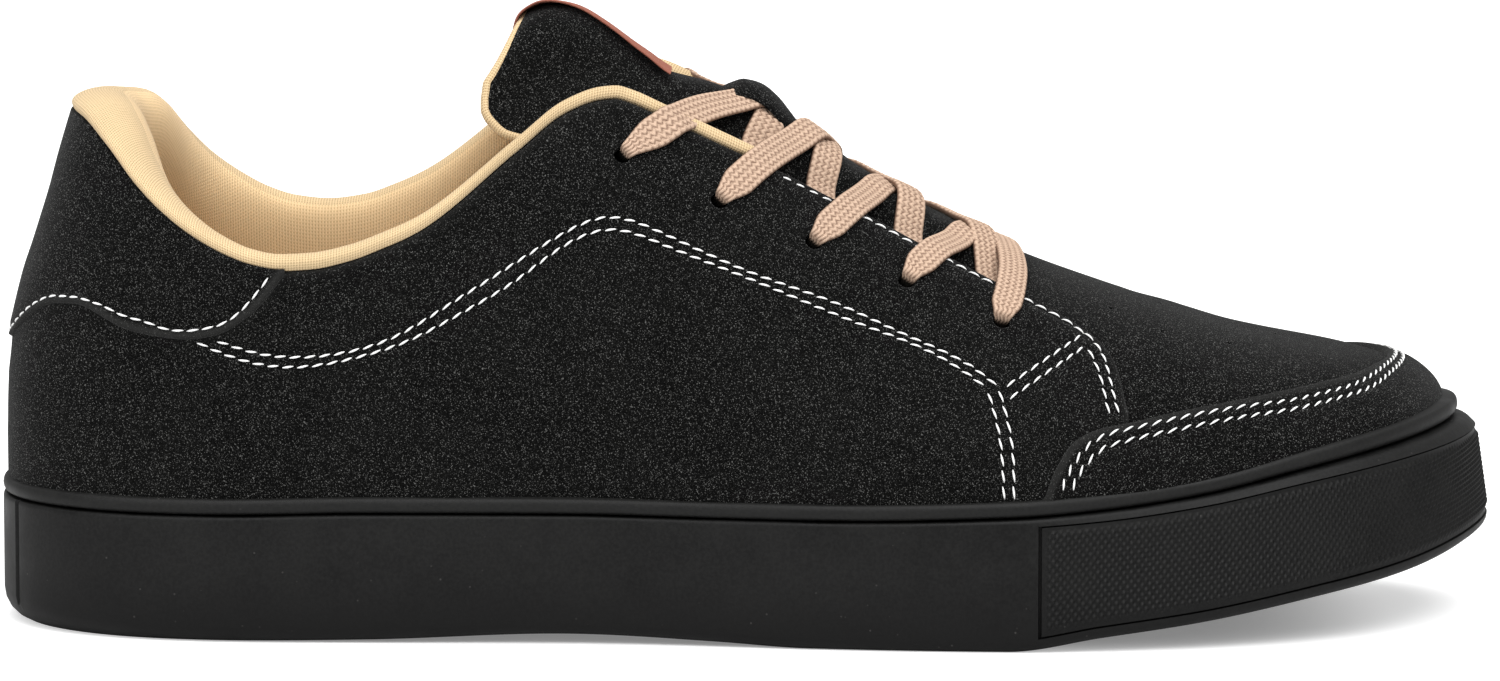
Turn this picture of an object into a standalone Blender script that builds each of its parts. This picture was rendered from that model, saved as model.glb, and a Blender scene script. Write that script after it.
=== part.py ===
"""A low-top lace-up sneaker for the right foot, empty and standing on its sole.

A last, the foot form that a shoe is made on, gives every curved piece its shape. It is described in
millimetres from the back of the heel: X to the toe, Y to the inner side of the foot, Z up from the
floor. Columns stand round it like the staves of a barrel. Each piece is a strip of those staves
between two edges, moved out or in a little. Meshes are written in metres, centred on the sole.
"""

from collections import namedtuple

import bmesh
import bpy
import numpy as np

# Main sizes, in millimetres
MM = 0.001
LENGTH = 300.0
BALL_WIDTH = 107.0
FIT = 0.35
HEEL_PIVOT = 42.0
TOE_PIVOT = 238.0

# Sole
CUP_WALL = 4.2
CUP_TOP_ROUND = 0.8
BUMPER_START = 206.8
BUMPER_DEPTH = 1.6
BUMPER_FROM_FLOOR = 3.0
BUMPER_FROM_LIP = 1.4
BUMPER_LEDGE = 0.25
BUMPER_LEAN = 0.4
GROOVE_ANGLE = 25.6
GROOVE_WIDTH = 1.6
GROOVE_DEPTH = 0.8
CLOSE_PAIR = 0.35
BOTTOM_RING = 9.0
EDGE_SHARE = 0.3
INSOLE_THICKNESS = 4.0

# Upper and what is laid on it
UPPER_WALL = 1.6
LIP_HEIGHT = 3.6
LIP_GAP = 0.55
PANEL_THICKNESS = 0.95
OVERLAY_THICKNESS = 1.5
BINDING = 1.6
HEEL_BINDING = 1.8
COLLAR_END = 150.0
COLLAR_FADE = 8.0
COLLAR_THINS = 0.75
COLLAR_THINNING = (80.0, 112.0)
HEEL_ROLL = (22.0, 56.0)
HEEL_PANEL_END = 59.6
TOE_GUARD_START = 208.0
QUARTERS_START = 224.0
THROAT_CLOSES = (199.0, 211.5)
UPPER_ROWS = 6
ROW_SNAP = 1.5

# Eyelets, lace, tongue and label
EYELET_RADIUS = 2.2
EYELET_SIDES = 8
LACE_WIDTH = 7.0
LACE_THICKNESS = 1.4
DIVE_CLEAR = 4.0
LACE_LIFT = 0.35
NEAR_POINTS = 6
FAR_POINTS = 4
BAR_POINTS = 12
LACE_SAG = 1.5
OVER_ROLL = 1.8
OVER_EDGE = 0.4
EDGE_REACH = 7.0
CUTTER_DEPTH = 4.0
TONGUE_EDGE = 2.5
TONGUE_UNDER = -3.9
TONGUE_CLEAR = 4.0
ROLL_CLEAR = 3.6
TONGUE_SHEAR = 0.013
SHEAR_FADES = (110.0, 160.0)
TONGUE_FLAT = 0.25
TONGUE_LEAST = 8.0
LABEL_WIDTH = 17.0
LABEL_THICKNESS = 1.3

# How finely the last is sampled
SPAN_POINTS = 40
RAW_POINTS = 90
LINE_POINTS = 120

# Outline of the sole, as percent of LENGTH and of BALL_WIDTH, from the toe tip round the outer side
Mark = namedtuple("Mark", "along across")
OUTLINE = (
    Mark(100.0, 7.5),
    Mark(97.2, -17.5),
    Mark(90.0, -38.0),
    Mark(78.7, -49.0),
    Mark(66.7, -51.0),
    Mark(55.0, -47.7),
    Mark(43.3, -42.0),
    Mark(31.7, -40.0),
    Mark(20.0, -39.4),
    Mark(9.0, -35.2),
    Mark(1.9, -20.0),
    Mark(0.0, 0.0),
    Mark(1.9, 18.7),
    Mark(9.0, 32.3),
    Mark(20.0, 34.6),
    Mark(31.7, 34.1),
    Mark(43.3, 36.0),
    Mark(55.0, 42.0),
    Mark(66.7, 48.2),
    Mark(78.7, 49.0),
    Mark(90.0, 42.0),
    Mark(97.4, 28.0),
)

# Sole along the shoe: underside, rounding of its edge, cup floor and wall top, then how far the wall top
# is set back from the outline and the upper's outside from the wall top
Sole = namedtuple("Sole", "along bottom corner floor lip set_back tuck")
SOLE = (
    Sole(0, 0.0, 6.0, 15.0, 25.2, 0.0, 2.2),
    Sole(15, 0.0, 3.6, 15.0, 25.0, 0.0, 2.2),
    Sole(25, 0.4, 3.0, 14.5, 25.5, 0.0, 2.2),
    Sole(38, 1.8, 2.5, 13.0, 25.5, 0.0, 2.2),
    Sole(48, 0.8, 2.5, 11.5, 25.2, 0.0, 2.2),
    Sole(54, 0.0, 2.5, 11.0, 25.2, 0.0, 2.2),
    Sole(67, 0.0, 2.5, 10.5, 26.2, 0.4, 2.2),
    Sole(73, 2.7, 2.5, 12.9, 27.6, 1.2, 2.2),
    Sole(80, 5.6, 2.5, 16.1, 30.6, 2.0, 2.2),
    Sole(87, 9.3, 2.5, 20.2, 35.2, 3.0, 2.5),
    Sole(94, 13.0, 2.5, 24.8, 38.8, 4.6, 3.4),
    Sole(100, 18.6, 2.5, 29.6, 40.9, 6.2, 4.6),
)

# Rounded lip on the cup wall: in from the wall's outside and up from its top
Lip = namedtuple("Lip", "inset rise")
LIP = (
    Lip(CUP_WALL, FIT),
    Lip(0.5, FIT),
    Lip(0.0, 1.6),
    Lip(0.5, 3.0),
)

# Crown line of the last
Crown = namedtuple("Crown", "along height")
CROWN = (
    Crown(0, 136.0),
    Crown(14, 134.0),
    Crown(28, 126.0),
    Crown(35, 121.0),
    Crown(40, 116.5),
    Crown(45, 110.0),
    Crown(50, 102.5),
    Crown(57, 89.8),
    Crown(63, 79.8),
    Crown(69, 72.0),
    Crown(73, 67.5),
    Crown(77, 63.3),
    Crown(81, 59.4),
    Crown(85, 56.5),
    Crown(89, 54.5),
    Crown(93, 53.0),
    Crown(98, 52.2),
)

# Cross-sections: how far the walls lean in, and the powers of breadth and rise of their curve
Section = namedtuple("Section", "along lean breadth rise")
SECTIONS = (
    Section(0, 0.06, 2.0, 1.76),
    Section(14, 0.10, 2.2, 2.2),
    Section(20, 0.12, 2.3, 2.2),
    Section(32, 0.18, 2.3, 2.5),
    Section(41, 0.12, 2.3, 3.5),
    Section(50, 0.12, 2.1, 2.5),
    Section(57, 0.12, 2.0, 1.9),
    Section(67, 0.08, 2.1, 2.0),
    Section(79, 0.05, 2.4, 2.0),
    Section(90, 0.02, 3.4, 1.7),
    Section(100, 0.0, 6.0, 1.4),
)

# Centre line of the last, seen from above
Spine = namedtuple("Spine", "along across")
SPINE = (
    Spine(14, -0.6),
    Spine(40, -1.5),
    Spine(67, 0.0),
    Spine(79, 2.5),
)

# Top edge of the suede on the outer and inner side, ending in the quarters' front edge
Topline = namedtuple("Topline", "along outer inner")
TOPLINE = (
    Topline(4.7, 102.3, 102.3),
    Topline(6.2, 101.0, 101.0),
    Topline(8.0, 96.2, 100.0),
    Topline(9.9, 89.2, 96.8),
    Topline(11.6, 84.0, 92.0),
    Topline(13.5, 79.6, 86.8),
    Topline(15.7, 75.9, 82.2),
    Topline(19.3, 73.0, 78.4),
    Topline(23.8, 74.8, 78.4),
    Topline(28.5, 80.6, 84.6),
    Topline(35.0, 96.0, 99.6),
    Topline(38.0, 103.0, 105.2),
    Topline(40.3, 106.2, 107.8),
    Topline(42.2, 105.9, 107.6),
    Topline(44.2, 103.2, 105.2),
    Topline(50.0, 95.5, 97.0),
    Topline(56.8, 86.0, 86.2),
    Topline(64.0, 74.6, 74.6),
    Topline(68.6, 67.3, 67.3),
    Topline(71.6, 62.4, 62.4),
    Topline(73.3, 58.6, 58.6),
    Topline(74.2, 54.0, 54.0),
    Topline(74.8, 46.5, 46.5),
)

# Lower edge of the panel round the heel
Edge = namedtuple("Edge", "along height")
HEEL_EDGE = (
    Edge(0.6, 55.5),
    Edge(2.5, 62.8),
    Edge(4.5, 65.4),
    Edge(6.0, 65.4),
    Edge(7.4, 63.6),
    Edge(9.1, 61.1),
    Edge(11.0, 60.1),
    Edge(13.1, 59.5),
    Edge(15.1, 60.3),
    Edge(17.0, 63.3),
    Edge(18.3, 66.8),
    Edge(19.3, 70.7),
    Edge(19.9, 73.0),
)

# Upper edge of the guard round the toe
TOE_EDGE = (
    Edge(69.3, 30.5),
    Edge(70.0, 35.7),
    Edge(71.3, 41.0),
    Edge(73.0, 43.5),
    Edge(75.0, 45.0),
    Edge(78.2, 46.5),
    Edge(82.6, 47.9),
    Edge(87.2, 49.6),
    Edge(90.6, 51.3),
    Edge(94.0, 51.6),
)

# Roll of the collar round the upper's top edge: place up the wall and out from it, at the ankle and heel
Roll = namedtuple("Roll", "side_up side_out heel_up heel_out")
COLLAR = (
    Roll(-1.25, 0.35, -1.45, 0.35),
    Roll(-1.2, 1.4, -1.3, 1.7),
    Roll(0.0, 2.1, 0.2, 2.4),
    Roll(1.2, 1.4, 1.7, 1.0),
    Roll(1.9, -0.6, 3.0, -3.0),
    Roll(1.2, -3.2, 3.3, -7.5),
    Roll(-2.0, -5.0, 0.5, -11.6),
    Roll(-9.0, -5.6, -8.0, -12.6),
    Roll(-20.0, -4.8, -22.0, -8.0),
    Roll(-32.0, -3.4, -36.0, -3.4),
    Roll(-32.0, -2.7, -36.0, -2.6),
    Roll(-22.0, -2.7, -24.0, -2.6),
    Roll(-11.0, -2.7, -12.0, -2.6),
    Roll(0.4, -2.7, 0.4, -2.4),
    Roll(0.4, 0.35, 0.4, 0.35),
)

# Tongue: half width over the foot, thickness in the middle, and how proud of the last its middle lies
Tongue = namedtuple("Tongue", "along half thick lift")
TONGUE = (
    Tongue(35.2, 24.0, 4.5, 0.0),
    Tongue(36.2, 29.0, 6.0, 0.0),
    Tongue(39.0, 31.0, 7.0, 0.0),
    Tongue(42.5, 31.0, 7.0, 0.0),
    Tongue(46.0, 29.0, 7.5, 1.8),
    Tongue(49.0, 28.0, 8.0, 3.2),
    Tongue(52.5, 26.0, 7.5, 2.4),
    Tongue(57.0, 25.0, 6.0, -0.2),
    Tongue(63.0, 23.0, 5.0, -1.2),
    Tongue(66.5, 22.0, 4.5, -2.2),
    Tongue(68.0, 21.0, 4.0, -2.8),
    Tongue(71.5, 19.0, 2.5, -3.0),
)

# Label: how far out from the last its underside lies, from its front end over the top of the tongue
Label = namedtuple("Label", "along out")
LABEL = (
    Label(44.8, 0.6),
    Label(42.5, 1.0),
    Label(39.5, 2.7),
    Label(37.0, 3.1),
    Label(35.6, 1.7),
    Label(34.8, -0.7),
    Label(34.4, -3.2),
)

# Eyelet, where the lace from it crosses the crown, and where it goes under the far throat edge
Pass = namedtuple("Pass", "eyelet height crown dive")
LACING = (
    Pass(125.3, 95.3, 149.0, 150.0),
    Pass(144.2, 86.3, 166.0, 166.0),
    Pass(162.7, 77.9, 179.0, 181.0),
    Pass(181.2, 70.2, 191.0, 192.0),
    Pass(199.9, 62.3, 203.0, 199.9),
)

# Stations and angles of the columns, in millimetres and degrees
STATIONS = (
    42, 48, 53, 59.5, 66, 75, 85, 95, 105, 113, 121, 129, 139, 150, 161,
    172, 183, 193, 200, 206, 208.6, 211.5, 216, 221, 223.5, 231, 238,
)
FAN_STEP = 180 / 14
TOE_STEP = 11.25
HEEL_ANGLES = np.arange(90 - FAN_STEP, -90 + FAN_STEP / 2, -FAN_STEP)
TOE_ANGLES = np.arange(0, 90 - TOE_STEP / 2, TOE_STEP)

Columns = namedtuple("Columns", "base out")


# Tables and curves

def smooth(xs, ys, x):
    """A cubic through the points (xs, ys) that never swings past them, read at x."""
    step = np.diff(xs)
    slope = np.diff(ys) / step
    product = slope[1:] * slope[:-1]
    total = np.where(product > 0, slope[1:] + slope[:-1], 1.0)
    inner = np.where(product > 0, 2 * product / total, 0.0)
    tangent = np.concatenate([slope[:1], inner, slope[-1:]])
    i = np.clip(np.searchsorted(xs, x) - 1, 0, len(step) - 1)
    t = np.clip((x - xs[i]) / step[i], 0, 1)
    start = ys[i] * (1 + 2 * t) + tangent[i] * step[i] * t
    end = ys[i + 1] * (3 - 2 * t) + tangent[i + 1] * step[i] * (t - 1)
    return start * (1 - t) ** 2 + end * t ** 2


def read(rows, column, x):
    """A table's column at x millimetres from the heel."""
    xs = np.array([row.along for row in rows], float) * LENGTH / 100
    ys = np.array([getattr(row, column) for row in rows], float)
    return smooth(xs, ys, np.asarray(x, float))


def ease(low, high, x):
    """Zero below low, one above high, and a smooth rise between them."""
    t = np.clip((np.asarray(x, float) - low) / (high - low), 0, 1)
    return t * t * (3 - 2 * t)


def unit(vectors):
    """Vectors of length one."""
    length = np.linalg.norm(vectors, axis=-1, keepdims=True)
    return vectors / np.maximum(length, 1e-12)


def closed_spline(marks):
    """A closed cubic spline through the marks, with even curvature where two spans meet."""
    count = len(marks)
    one = np.eye(count)
    system = 4 * one + np.roll(one, 1, axis=0) + np.roll(one, -1, axis=0)
    after = np.roll(marks, -1, axis=0)
    before = np.roll(marks, 1, axis=0)
    tangent = np.linalg.solve(system, 3 * (after - before))
    t = np.linspace(0, 1, SPAN_POINTS, endpoint=False)[:, None]
    start = marks[:, None] * (1 + 2 * t) + tangent[:, None] * t
    end = after[:, None] * (3 - 2 * t) + np.roll(tangent, -1, axis=0)[:, None] * (t - 1)
    return (start * (1 - t) ** 2 + end * t ** 2).reshape(-1, 2)


OUTER_LINE = closed_spline(
    np.array([(mark.along * LENGTH, mark.across * BALL_WIDTH) for mark in OUTLINE]) / 100
)
CENTRE = (OUTER_LINE.min(axis=0) + OUTER_LINE.max(axis=0)) / 2
OUTER_SET_BACK = read(SOLE, "set_back", OUTER_LINE[:, 0])
OUTER_TUCK = read(SOLE, "tuck", OUTER_LINE[:, 0])


def inset_line(inset, set_back):
    """The sole's outline moved in by inset, and by a share of the wall top's own set-back."""
    along = unit(np.roll(OUTER_LINE, -1, axis=0) - np.roll(OUTER_LINE, 1, axis=0))
    inward = np.stack([along[:, 1], -along[:, 0]], axis=1)
    return OUTER_LINE + inward * (inset + set_back * OUTER_SET_BACK)[:, None]


# Columns round the last

def fan(pivot, angles):
    """Columns that share one foot on the spine and point out at the given angles."""
    angles = np.radians(angles)
    foot = (pivot, float(read(SPINE, "across", pivot)))
    out = np.stack([np.cos(angles), np.sin(angles)], axis=1)
    return np.tile(foot, (len(angles), 1)), out


def side_columns(x, side):
    """Columns across the shoe at x, to the outer side (-1) or the inner side (1)."""
    x = np.asarray(x, float)
    side = np.broadcast_to(np.asarray(side, float), x.shape)
    base = np.stack([x, read(SPINE, "across", x)], axis=1)
    return Columns(base, np.stack([np.zeros_like(side), side], axis=1))


def loop_columns(stations, heel_angles, toe_angles):
    """Columns from the toe tip along the outer side, round the heel and back along the inner side."""
    stations = np.array(stations, float)
    heel_angles = np.array(heel_angles)
    toe_angles = np.array(toe_angles)
    outer = side_columns(stations[::-1], -1)
    inner = side_columns(stations, 1)
    toe_outer = fan(TOE_PIVOT, -toe_angles)
    heel = fan(HEEL_PIVOT, 180 + heel_angles)
    toe_inner = fan(TOE_PIVOT, toe_angles[:0:-1])
    runs = (toe_outer, outer, heel, inner, toe_inner)
    base = np.concatenate([run[0] for run in runs])
    out = np.concatenate([run[1] for run in runs])
    return Columns(base, out)


def reach(columns, inset, set_back=1.0):
    """How far each column runs from its foot to the outline moved in by inset."""
    line = inset_line(inset, set_back)
    found = np.zeros(len(columns.base))
    for i, (base, out) in enumerate(zip(columns.base, columns.out)):
        along = (line - base) @ out
        across = (line - base) @ np.array([-out[1], out[0]])
        next_along = np.roll(along, -1)
        next_across = np.roll(across, -1)
        hit = np.flatnonzero((across * next_across <= 0) & (along > 0))
        share = across[hit] / (across[hit] - next_across[hit])
        found[i] = (along[hit] + share * (next_along[hit] - along[hit])).max()
    return found


def standing(columns, reaches, heights):
    """Points on the columns at the given reaches and heights."""
    flat = columns.base[:, None] + columns.out[:, None] * reaches[..., None]
    return np.concatenate([flat, heights[..., None]], axis=2)


def outline_x(columns):
    """The X at which each column meets the sole's outline."""
    return columns.base[:, 0] + columns.out[:, 0] * reach(columns, 0.0, 0.0)


def wall_lines(columns):
    """Each column's line up the outside of the upper, from the cup floor to the crown, in even steps."""
    inside = reach(columns, CUP_WALL + FIT)[:, None]
    outside = reach(columns, OUTER_TUCK)[:, None]
    end = outline_x(columns)[:, None]
    floor = read(SOLE, "floor", columns.base[:, :1] + columns.out[:, :1] * inside) + FIT
    lip = read(SOLE, "lip", end)
    swell = lip + LIP_HEIGHT + FIT
    t = np.linspace(0, 1, RAW_POINTS)[None, :]
    angle = np.pi / 2 * (1 - (1 - t) ** 2)
    cosine = np.cos(angle)
    cosine[:, -1] = 0.0
    share = np.sin(angle) ** (2 / read(SECTIONS, "rise", end))
    narrow = 1 - read(SECTIONS, "lean", end) * share
    arc = outside * narrow * cosine ** (2 / read(SECTIONS, "breadth", end))
    flare = inside + (outside - inside) * ease(0, 1, t)
    straight = inside + 0 * t
    reaches = np.concatenate([straight, flare[:, 1:], arc[:, 1:]], axis=1)
    x = columns.base[:, :1] + columns.out[:, :1] * arc
    arc_height = swell + (read(CROWN, "height", x) - swell) * share
    heights = np.concatenate(
        [floor + (lip - floor) * t, (lip + (swell - lip) * t)[:, 1:], arc_height[:, 1:]], axis=1
    )
    return even_lines(standing(columns, reaches, heights))


def even_lines(lines):
    """The same lines with points at even distances."""
    steps = np.linalg.norm(np.diff(lines, axis=1), axis=2)
    result = np.empty((len(lines), LINE_POINTS, 3))
    for i, line in enumerate(lines):
        run = np.concatenate([[0], np.cumsum(steps[i])])
        places = np.linspace(0, run[-1], LINE_POINTS)
        for axis in range(3):
            result[i, :, axis] = np.interp(places, run, line[:, axis])
    return result


def crown_normal(x):
    """The upward normal of the crown line at x."""
    slope = (read(CROWN, "height", x + 1) - read(CROWN, "height", x - 1)) / 2
    return unit(np.stack([-slope, np.zeros_like(slope), np.ones_like(slope)], axis=-1))


def line_normals(lines, columns):
    """Outward normals of the surface that a full loop of lines draws."""
    across = np.roll(lines, -1, axis=0) - np.roll(lines, 1, axis=0)
    normals = unit(np.cross(np.gradient(lines, axis=1), across))
    normals[:, -1] = crown_normal(columns.base[:, 0])
    return normals


def meet(lines, height):
    """Where each line first rises past a height, as a place along it. The last place if it never does."""
    gap = lines[..., 2] - height
    above = gap >= 0
    first = np.maximum(above.argmax(axis=1), 1)
    row = np.arange(len(lines))
    low = gap[row, first - 1]
    high = gap[row, first]
    place = first - high / np.where(high == low, 1, high - low)
    return np.where(above.any(axis=1), place, lines.shape[1] - 1.0)


def at(lines, place):
    """Points, or normals, at places along the lines."""
    place = np.clip(place, 0, lines.shape[1] - 1)
    low = np.minimum(place.astype(int), lines.shape[1] - 2)
    share = (place - low)[..., None]
    row = np.arange(len(lines)).reshape((-1,) + (1,) * (place.ndim - 1))
    return lines[row, low] * (1 - share) + lines[row, low + 1] * share


def step_length(lines):
    """The distance between the points of each line."""
    return np.linalg.norm(lines[:, 1] - lines[:, 0], axis=1)


def spread(low, high, count):
    """Places from low to high in equal steps, a row for each line."""
    t = np.linspace(0, 1, count + 1)
    return low[:, None] + (high - low)[:, None] * t


def on_last(x, arc):
    """Points and outward normals arc millimetres from the crown line, outer side negative."""
    side = np.where(arc < 0, -1.0, 1.0)

    def spots(offset, shift):
        lines = wall_lines(side_columns(x + offset, side))
        return at(lines, LINE_POINTS - 1 - (np.abs(arc) + shift) / step_length(lines))

    points = spots(0.0, 0.0)
    along = spots(1.0, 0.0) - spots(-1.0, 0.0)
    down = spots(0.0, 1.0) - points
    normals = unit(np.cross(down, along) * side[:, None])
    normals *= np.where(normals[:, 2:] + side[:, None] * normals[:, 1:2] < 0, -1, 1)
    return points, normals


def arc_to_height(x, side, height):
    """Distance from the crown line down to a height on the section at x, outer side negative."""
    lines = wall_lines(side_columns(x, side))
    place = meet(lines, np.asarray(height)[:, None])
    return side * (LINE_POINTS - 1 - place) * step_length(lines)


# Meshes

def grid_faces(columns, rows, loop_columns_too, loop_rows):
    """Pairs of triangles, all cut the same way, between neighbouring columns and rows of a grid."""
    index = np.arange(columns * rows).reshape(columns, rows)
    if loop_columns_too:
        index = np.concatenate([index, index[:1]], axis=0)
    if loop_rows:
        index = np.concatenate([index, index[:, :1]], axis=1)
    corners = (index[:-1, :-1], index[1:, :-1], index[1:, 1:], index[:-1, 1:])
    first = np.stack([corners[0], corners[1], corners[2]], axis=-1).reshape(-1, 3)
    second = np.stack([corners[0], corners[2], corners[3]], axis=-1).reshape(-1, 3)
    return np.concatenate([first, second]).tolist()


def add_object(name, points, faces, material):
    """A closed mesh object from points in last millimetres, its doubled points joined."""
    points = np.array(points, float).reshape(-1, 3) - np.array([CENTRE[0], CENTRE[1], 0.0])
    mesh = bpy.data.meshes.new(name)
    mesh.from_pydata((points * MM).tolist(), [], faces)
    work = bmesh.new()
    work.from_mesh(mesh)
    bmesh.ops.remove_doubles(work, verts=work.verts, dist=1e-6)
    bmesh.ops.dissolve_degenerate(work, dist=1e-7, edges=work.edges)
    bmesh.ops.recalc_face_normals(work, faces=work.faces)
    if work.calc_volume(signed=True) < 0:
        bmesh.ops.reverse_faces(work, faces=work.faces)
    work.to_mesh(mesh)
    work.free()
    mesh.polygons.foreach_set("use_smooth", [True] * len(mesh.polygons))
    mesh.set_sharp_from_angle(angle=np.radians(40))
    mesh.materials.append(material)
    built = bpy.data.objects.new(name, mesh)
    bpy.context.scene.collection.objects.link(built)
    return built


def add_sweep(name, points, material, loop_columns_too, loop_rows=True):
    """A solid whose closed profile, a row of points for each column, runs round or along the shoe."""
    columns, rows = points.shape[:2]
    faces = grid_faces(columns, rows, loop_columns_too, loop_rows)
    if not loop_columns_too:
        faces.append(list(range(rows)))
        faces.append(list(range((columns - 1) * rows, columns * rows))[::-1])
    return add_object(name, points, faces, material)


def shell_faces(columns, rows, loop_columns_too, sealed):
    """Faces of an outer and an inner grid joined along their edges, but not where the top is sealed."""
    outer = grid_faces(columns, rows, loop_columns_too, False)
    size = columns * rows
    faces = outer + [[i + size for i in face[::-1]] for face in outer]
    last = columns if loop_columns_too else columns - 1
    for i in range(last):
        j = (i + 1) % columns
        faces.append([i * rows, i * rows + size, j * rows + size, j * rows])
        if not (sealed[i] and sealed[j]):
            top_i = i * rows + rows - 1
            top_j = j * rows + rows - 1
            faces.append([top_i, top_j, top_j + size, top_i + size])
    if not loop_columns_too:
        for k in range(rows - 1):
            end = (columns - 1) * rows
            faces.append([k, k + 1, k + 1 + size, k + size])
            faces.append([end + k, end + k + size, end + k + 1 + size, end + k + 1])
    return faces


def add_shell(name, outer, inner, material, loop_columns_too, sealed=None):
    """A thin solid between two grids of points."""
    columns, rows = outer.shape[:2]
    if sealed is None:
        sealed = np.zeros(columns, bool)
    faces = shell_faces(columns, rows, loop_columns_too, sealed)
    points = np.concatenate([outer.reshape(-1, 3), inner.reshape(-1, 3)])
    return add_object(name, points, faces, material)


def add_boolean(target, other, operation):
    """Joins another object to the target or cuts it away, and hides it."""
    other.hide_render = True
    other.display_type = "WIRE"
    change = target.modifiers.new(operation.lower(), "BOOLEAN")
    change.operation = operation
    change.solver = "EXACT"
    change.object = other


def add_material(name, colour, roughness):
    """A plain material of one colour."""
    made = bpy.data.materials.new(name)
    made.use_nodes = True
    shader = made.node_tree.nodes["Principled BSDF"]
    shader.inputs["Base Color"].default_value = (*colour, 1.0)
    shader.inputs["Roughness"].default_value = roughness
    shader.inputs["Metallic"].default_value = 0.0
    return made


# Pieces of the sole

def add_cup_sole(material):
    """The rubber cup: underside, rounded edge, side wall with its recess and grooves, and cup floor."""
    groove = np.array([-0.5, -0.5, 0.5, 0.5]) * GROOVE_WIDTH
    groove += np.array([-0.5, 0.5, -0.5, 0.5]) * CLOSE_PAIR
    groove_angles = GROOVE_ANGLE + np.degrees(groove / HEEL_PIVOT)
    heel = np.concatenate([HEEL_ANGLES, groove_angles, -groove_angles])
    heel = np.sort(heel)[::-1]
    stations = np.sort(np.concatenate([STATIONS, [BUMPER_START, BUMPER_START + CLOSE_PAIR]]))
    columns = loop_columns(stations, heel, TOE_ANGLES)
    x = outline_x(columns)
    angle = np.degrees(np.arctan2(np.abs(columns.out[:, 1]), -columns.out[:, 0]))
    off_groove = np.abs(angle - GROOVE_ANGLE) * np.radians(HEEL_PIVOT)
    in_groove = np.where(off_groove < GROOVE_WIDTH / 2, GROOVE_DEPTH, 0.0)
    recess = np.where(x > BUMPER_START + CLOSE_PAIR / 2, BUMPER_DEPTH, 0.0)
    corner = read(SOLE, "corner", x)
    bottom = read(SOLE, "bottom", x)
    lip = read(SOLE, "lip", x)
    low = bottom + BUMPER_FROM_FLOOR
    low = np.maximum(low, bottom + corner)
    high = lip - BUMPER_FROM_LIP - BUMPER_LEDGE * read(SOLE, "set_back", x)
    full = reach(columns, 0.0, 0.0)
    top = reach(columns, 0.0)
    leaning = full + (top - full) * BUMPER_LEAN
    ring = reach(columns, BOTTOM_RING, 0.0)
    ring_x = columns.base[:, 0] + columns.out[:, 0] * ring
    inside = reach(columns, CUP_WALL)
    nothing = np.zeros(len(x))
    profile = (
        (nothing, read(SOLE, "bottom", columns.base[:, 0])),
        (ring, read(SOLE, "bottom", ring_x)),
        (np.maximum(full - corner, ring + FIT), bottom),
        (full - EDGE_SHARE * corner, bottom + EDGE_SHARE * corner),
        (full - in_groove, low),
        (full - recess - in_groove, low),
        (leaning - recess - in_groove, high),
        (leaning - in_groove, high),
        (top - in_groove, lip - CUP_TOP_ROUND),
        (top - CUP_TOP_ROUND - in_groove, lip),
        (inside, lip),
        (inside, read(SOLE, "floor", columns.base[:, 0] + columns.out[:, 0] * inside)),
        (nothing, read(SOLE, "floor", columns.base[:, 0])),
    )
    points = standing(
        columns,
        np.stack([row[0] for row in profile], axis=1),
        np.stack([row[1] for row in profile], axis=1),
    )
    return add_sweep("cup_sole", points, material, True, loop_rows=False)


def add_toe_bumper(material):
    """The panel let into the wall's recess round the toe."""
    start = BUMPER_START + CLOSE_PAIR + FIT
    stations = np.array([start] + [x for x in STATIONS if x > start + 1])
    outer = side_columns(stations, -1)
    toe = np.array(TOE_ANGLES)
    front = fan(TOE_PIVOT, np.concatenate([-toe[::-1], toe[1:]]))
    inner = side_columns(stations[::-1], 1)
    columns = Columns(
        np.concatenate([outer.base, front[0], inner.base]),
        np.concatenate([outer.out, front[1], inner.out]),
    )
    x = outline_x(columns)
    low = read(SOLE, "bottom", x) + BUMPER_FROM_FLOOR + FIT
    high = read(SOLE, "lip", x) - BUMPER_FROM_LIP - BUMPER_LEDGE * read(SOLE, "set_back", x) - FIT
    full = reach(columns, 0.0, 0.0)
    leaning = full + (reach(columns, 0.0) - full) * BUMPER_LEAN
    back = BUMPER_DEPTH - FIT
    reaches = np.stack([full - back, full, leaning, leaning - back], axis=1)
    heights = np.stack([low, low, high, high], axis=1)
    return add_sweep("toe_bumper", standing(columns, reaches, heights), material, False)


def add_rand(columns, material):
    """The rounded lip between the cup wall and the upper."""
    x = outline_x(columns)
    lip = read(SOLE, "lip", x)
    reaches = [reach(columns, row.inset) for row in LIP]
    reaches.append(reach(columns, OUTER_TUCK - LIP_GAP))
    reaches = np.stack(reaches, axis=1)
    rises = [row.rise for row in LIP] + [LIP_HEIGHT]
    heights = np.stack([lip + rise for rise in rises], axis=1)
    return add_sweep("rand", standing(columns, reaches, heights), material, True)


def add_insole(columns, material):
    """The footbed on the cup floor, inside the upper's wall."""
    inside = reach(columns, CUP_WALL)
    edge = reach(columns, CUP_WALL + FIT + UPPER_WALL + 2 * FIT)
    middle = read(SOLE, "floor", columns.base[:, 0])
    corner = read(SOLE, "floor", columns.base[:, 0] + columns.out[:, 0] * inside)
    rim = middle + (corner - middle) * edge / inside + FIT
    middle = middle + FIT
    nothing = np.zeros(len(edge))
    reaches = np.stack([nothing, edge, edge, nothing], axis=1)
    heights = np.stack([middle, rim, rim + INSOLE_THICKNESS, middle + INSOLE_THICKNESS], axis=1)
    return add_sweep("insole", standing(columns, reaches, heights), material, True, loop_rows=False)


# Pieces of the upper

def topline(lines, columns):
    """Height of the suede's top edge beside every point of the lines."""
    x = lines[..., 0]
    outer = read(TOPLINE, "outer", x)
    inner = read(TOPLINE, "inner", x)
    return np.where(columns.out[:, 1:] < 0, outer, inner)


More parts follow.
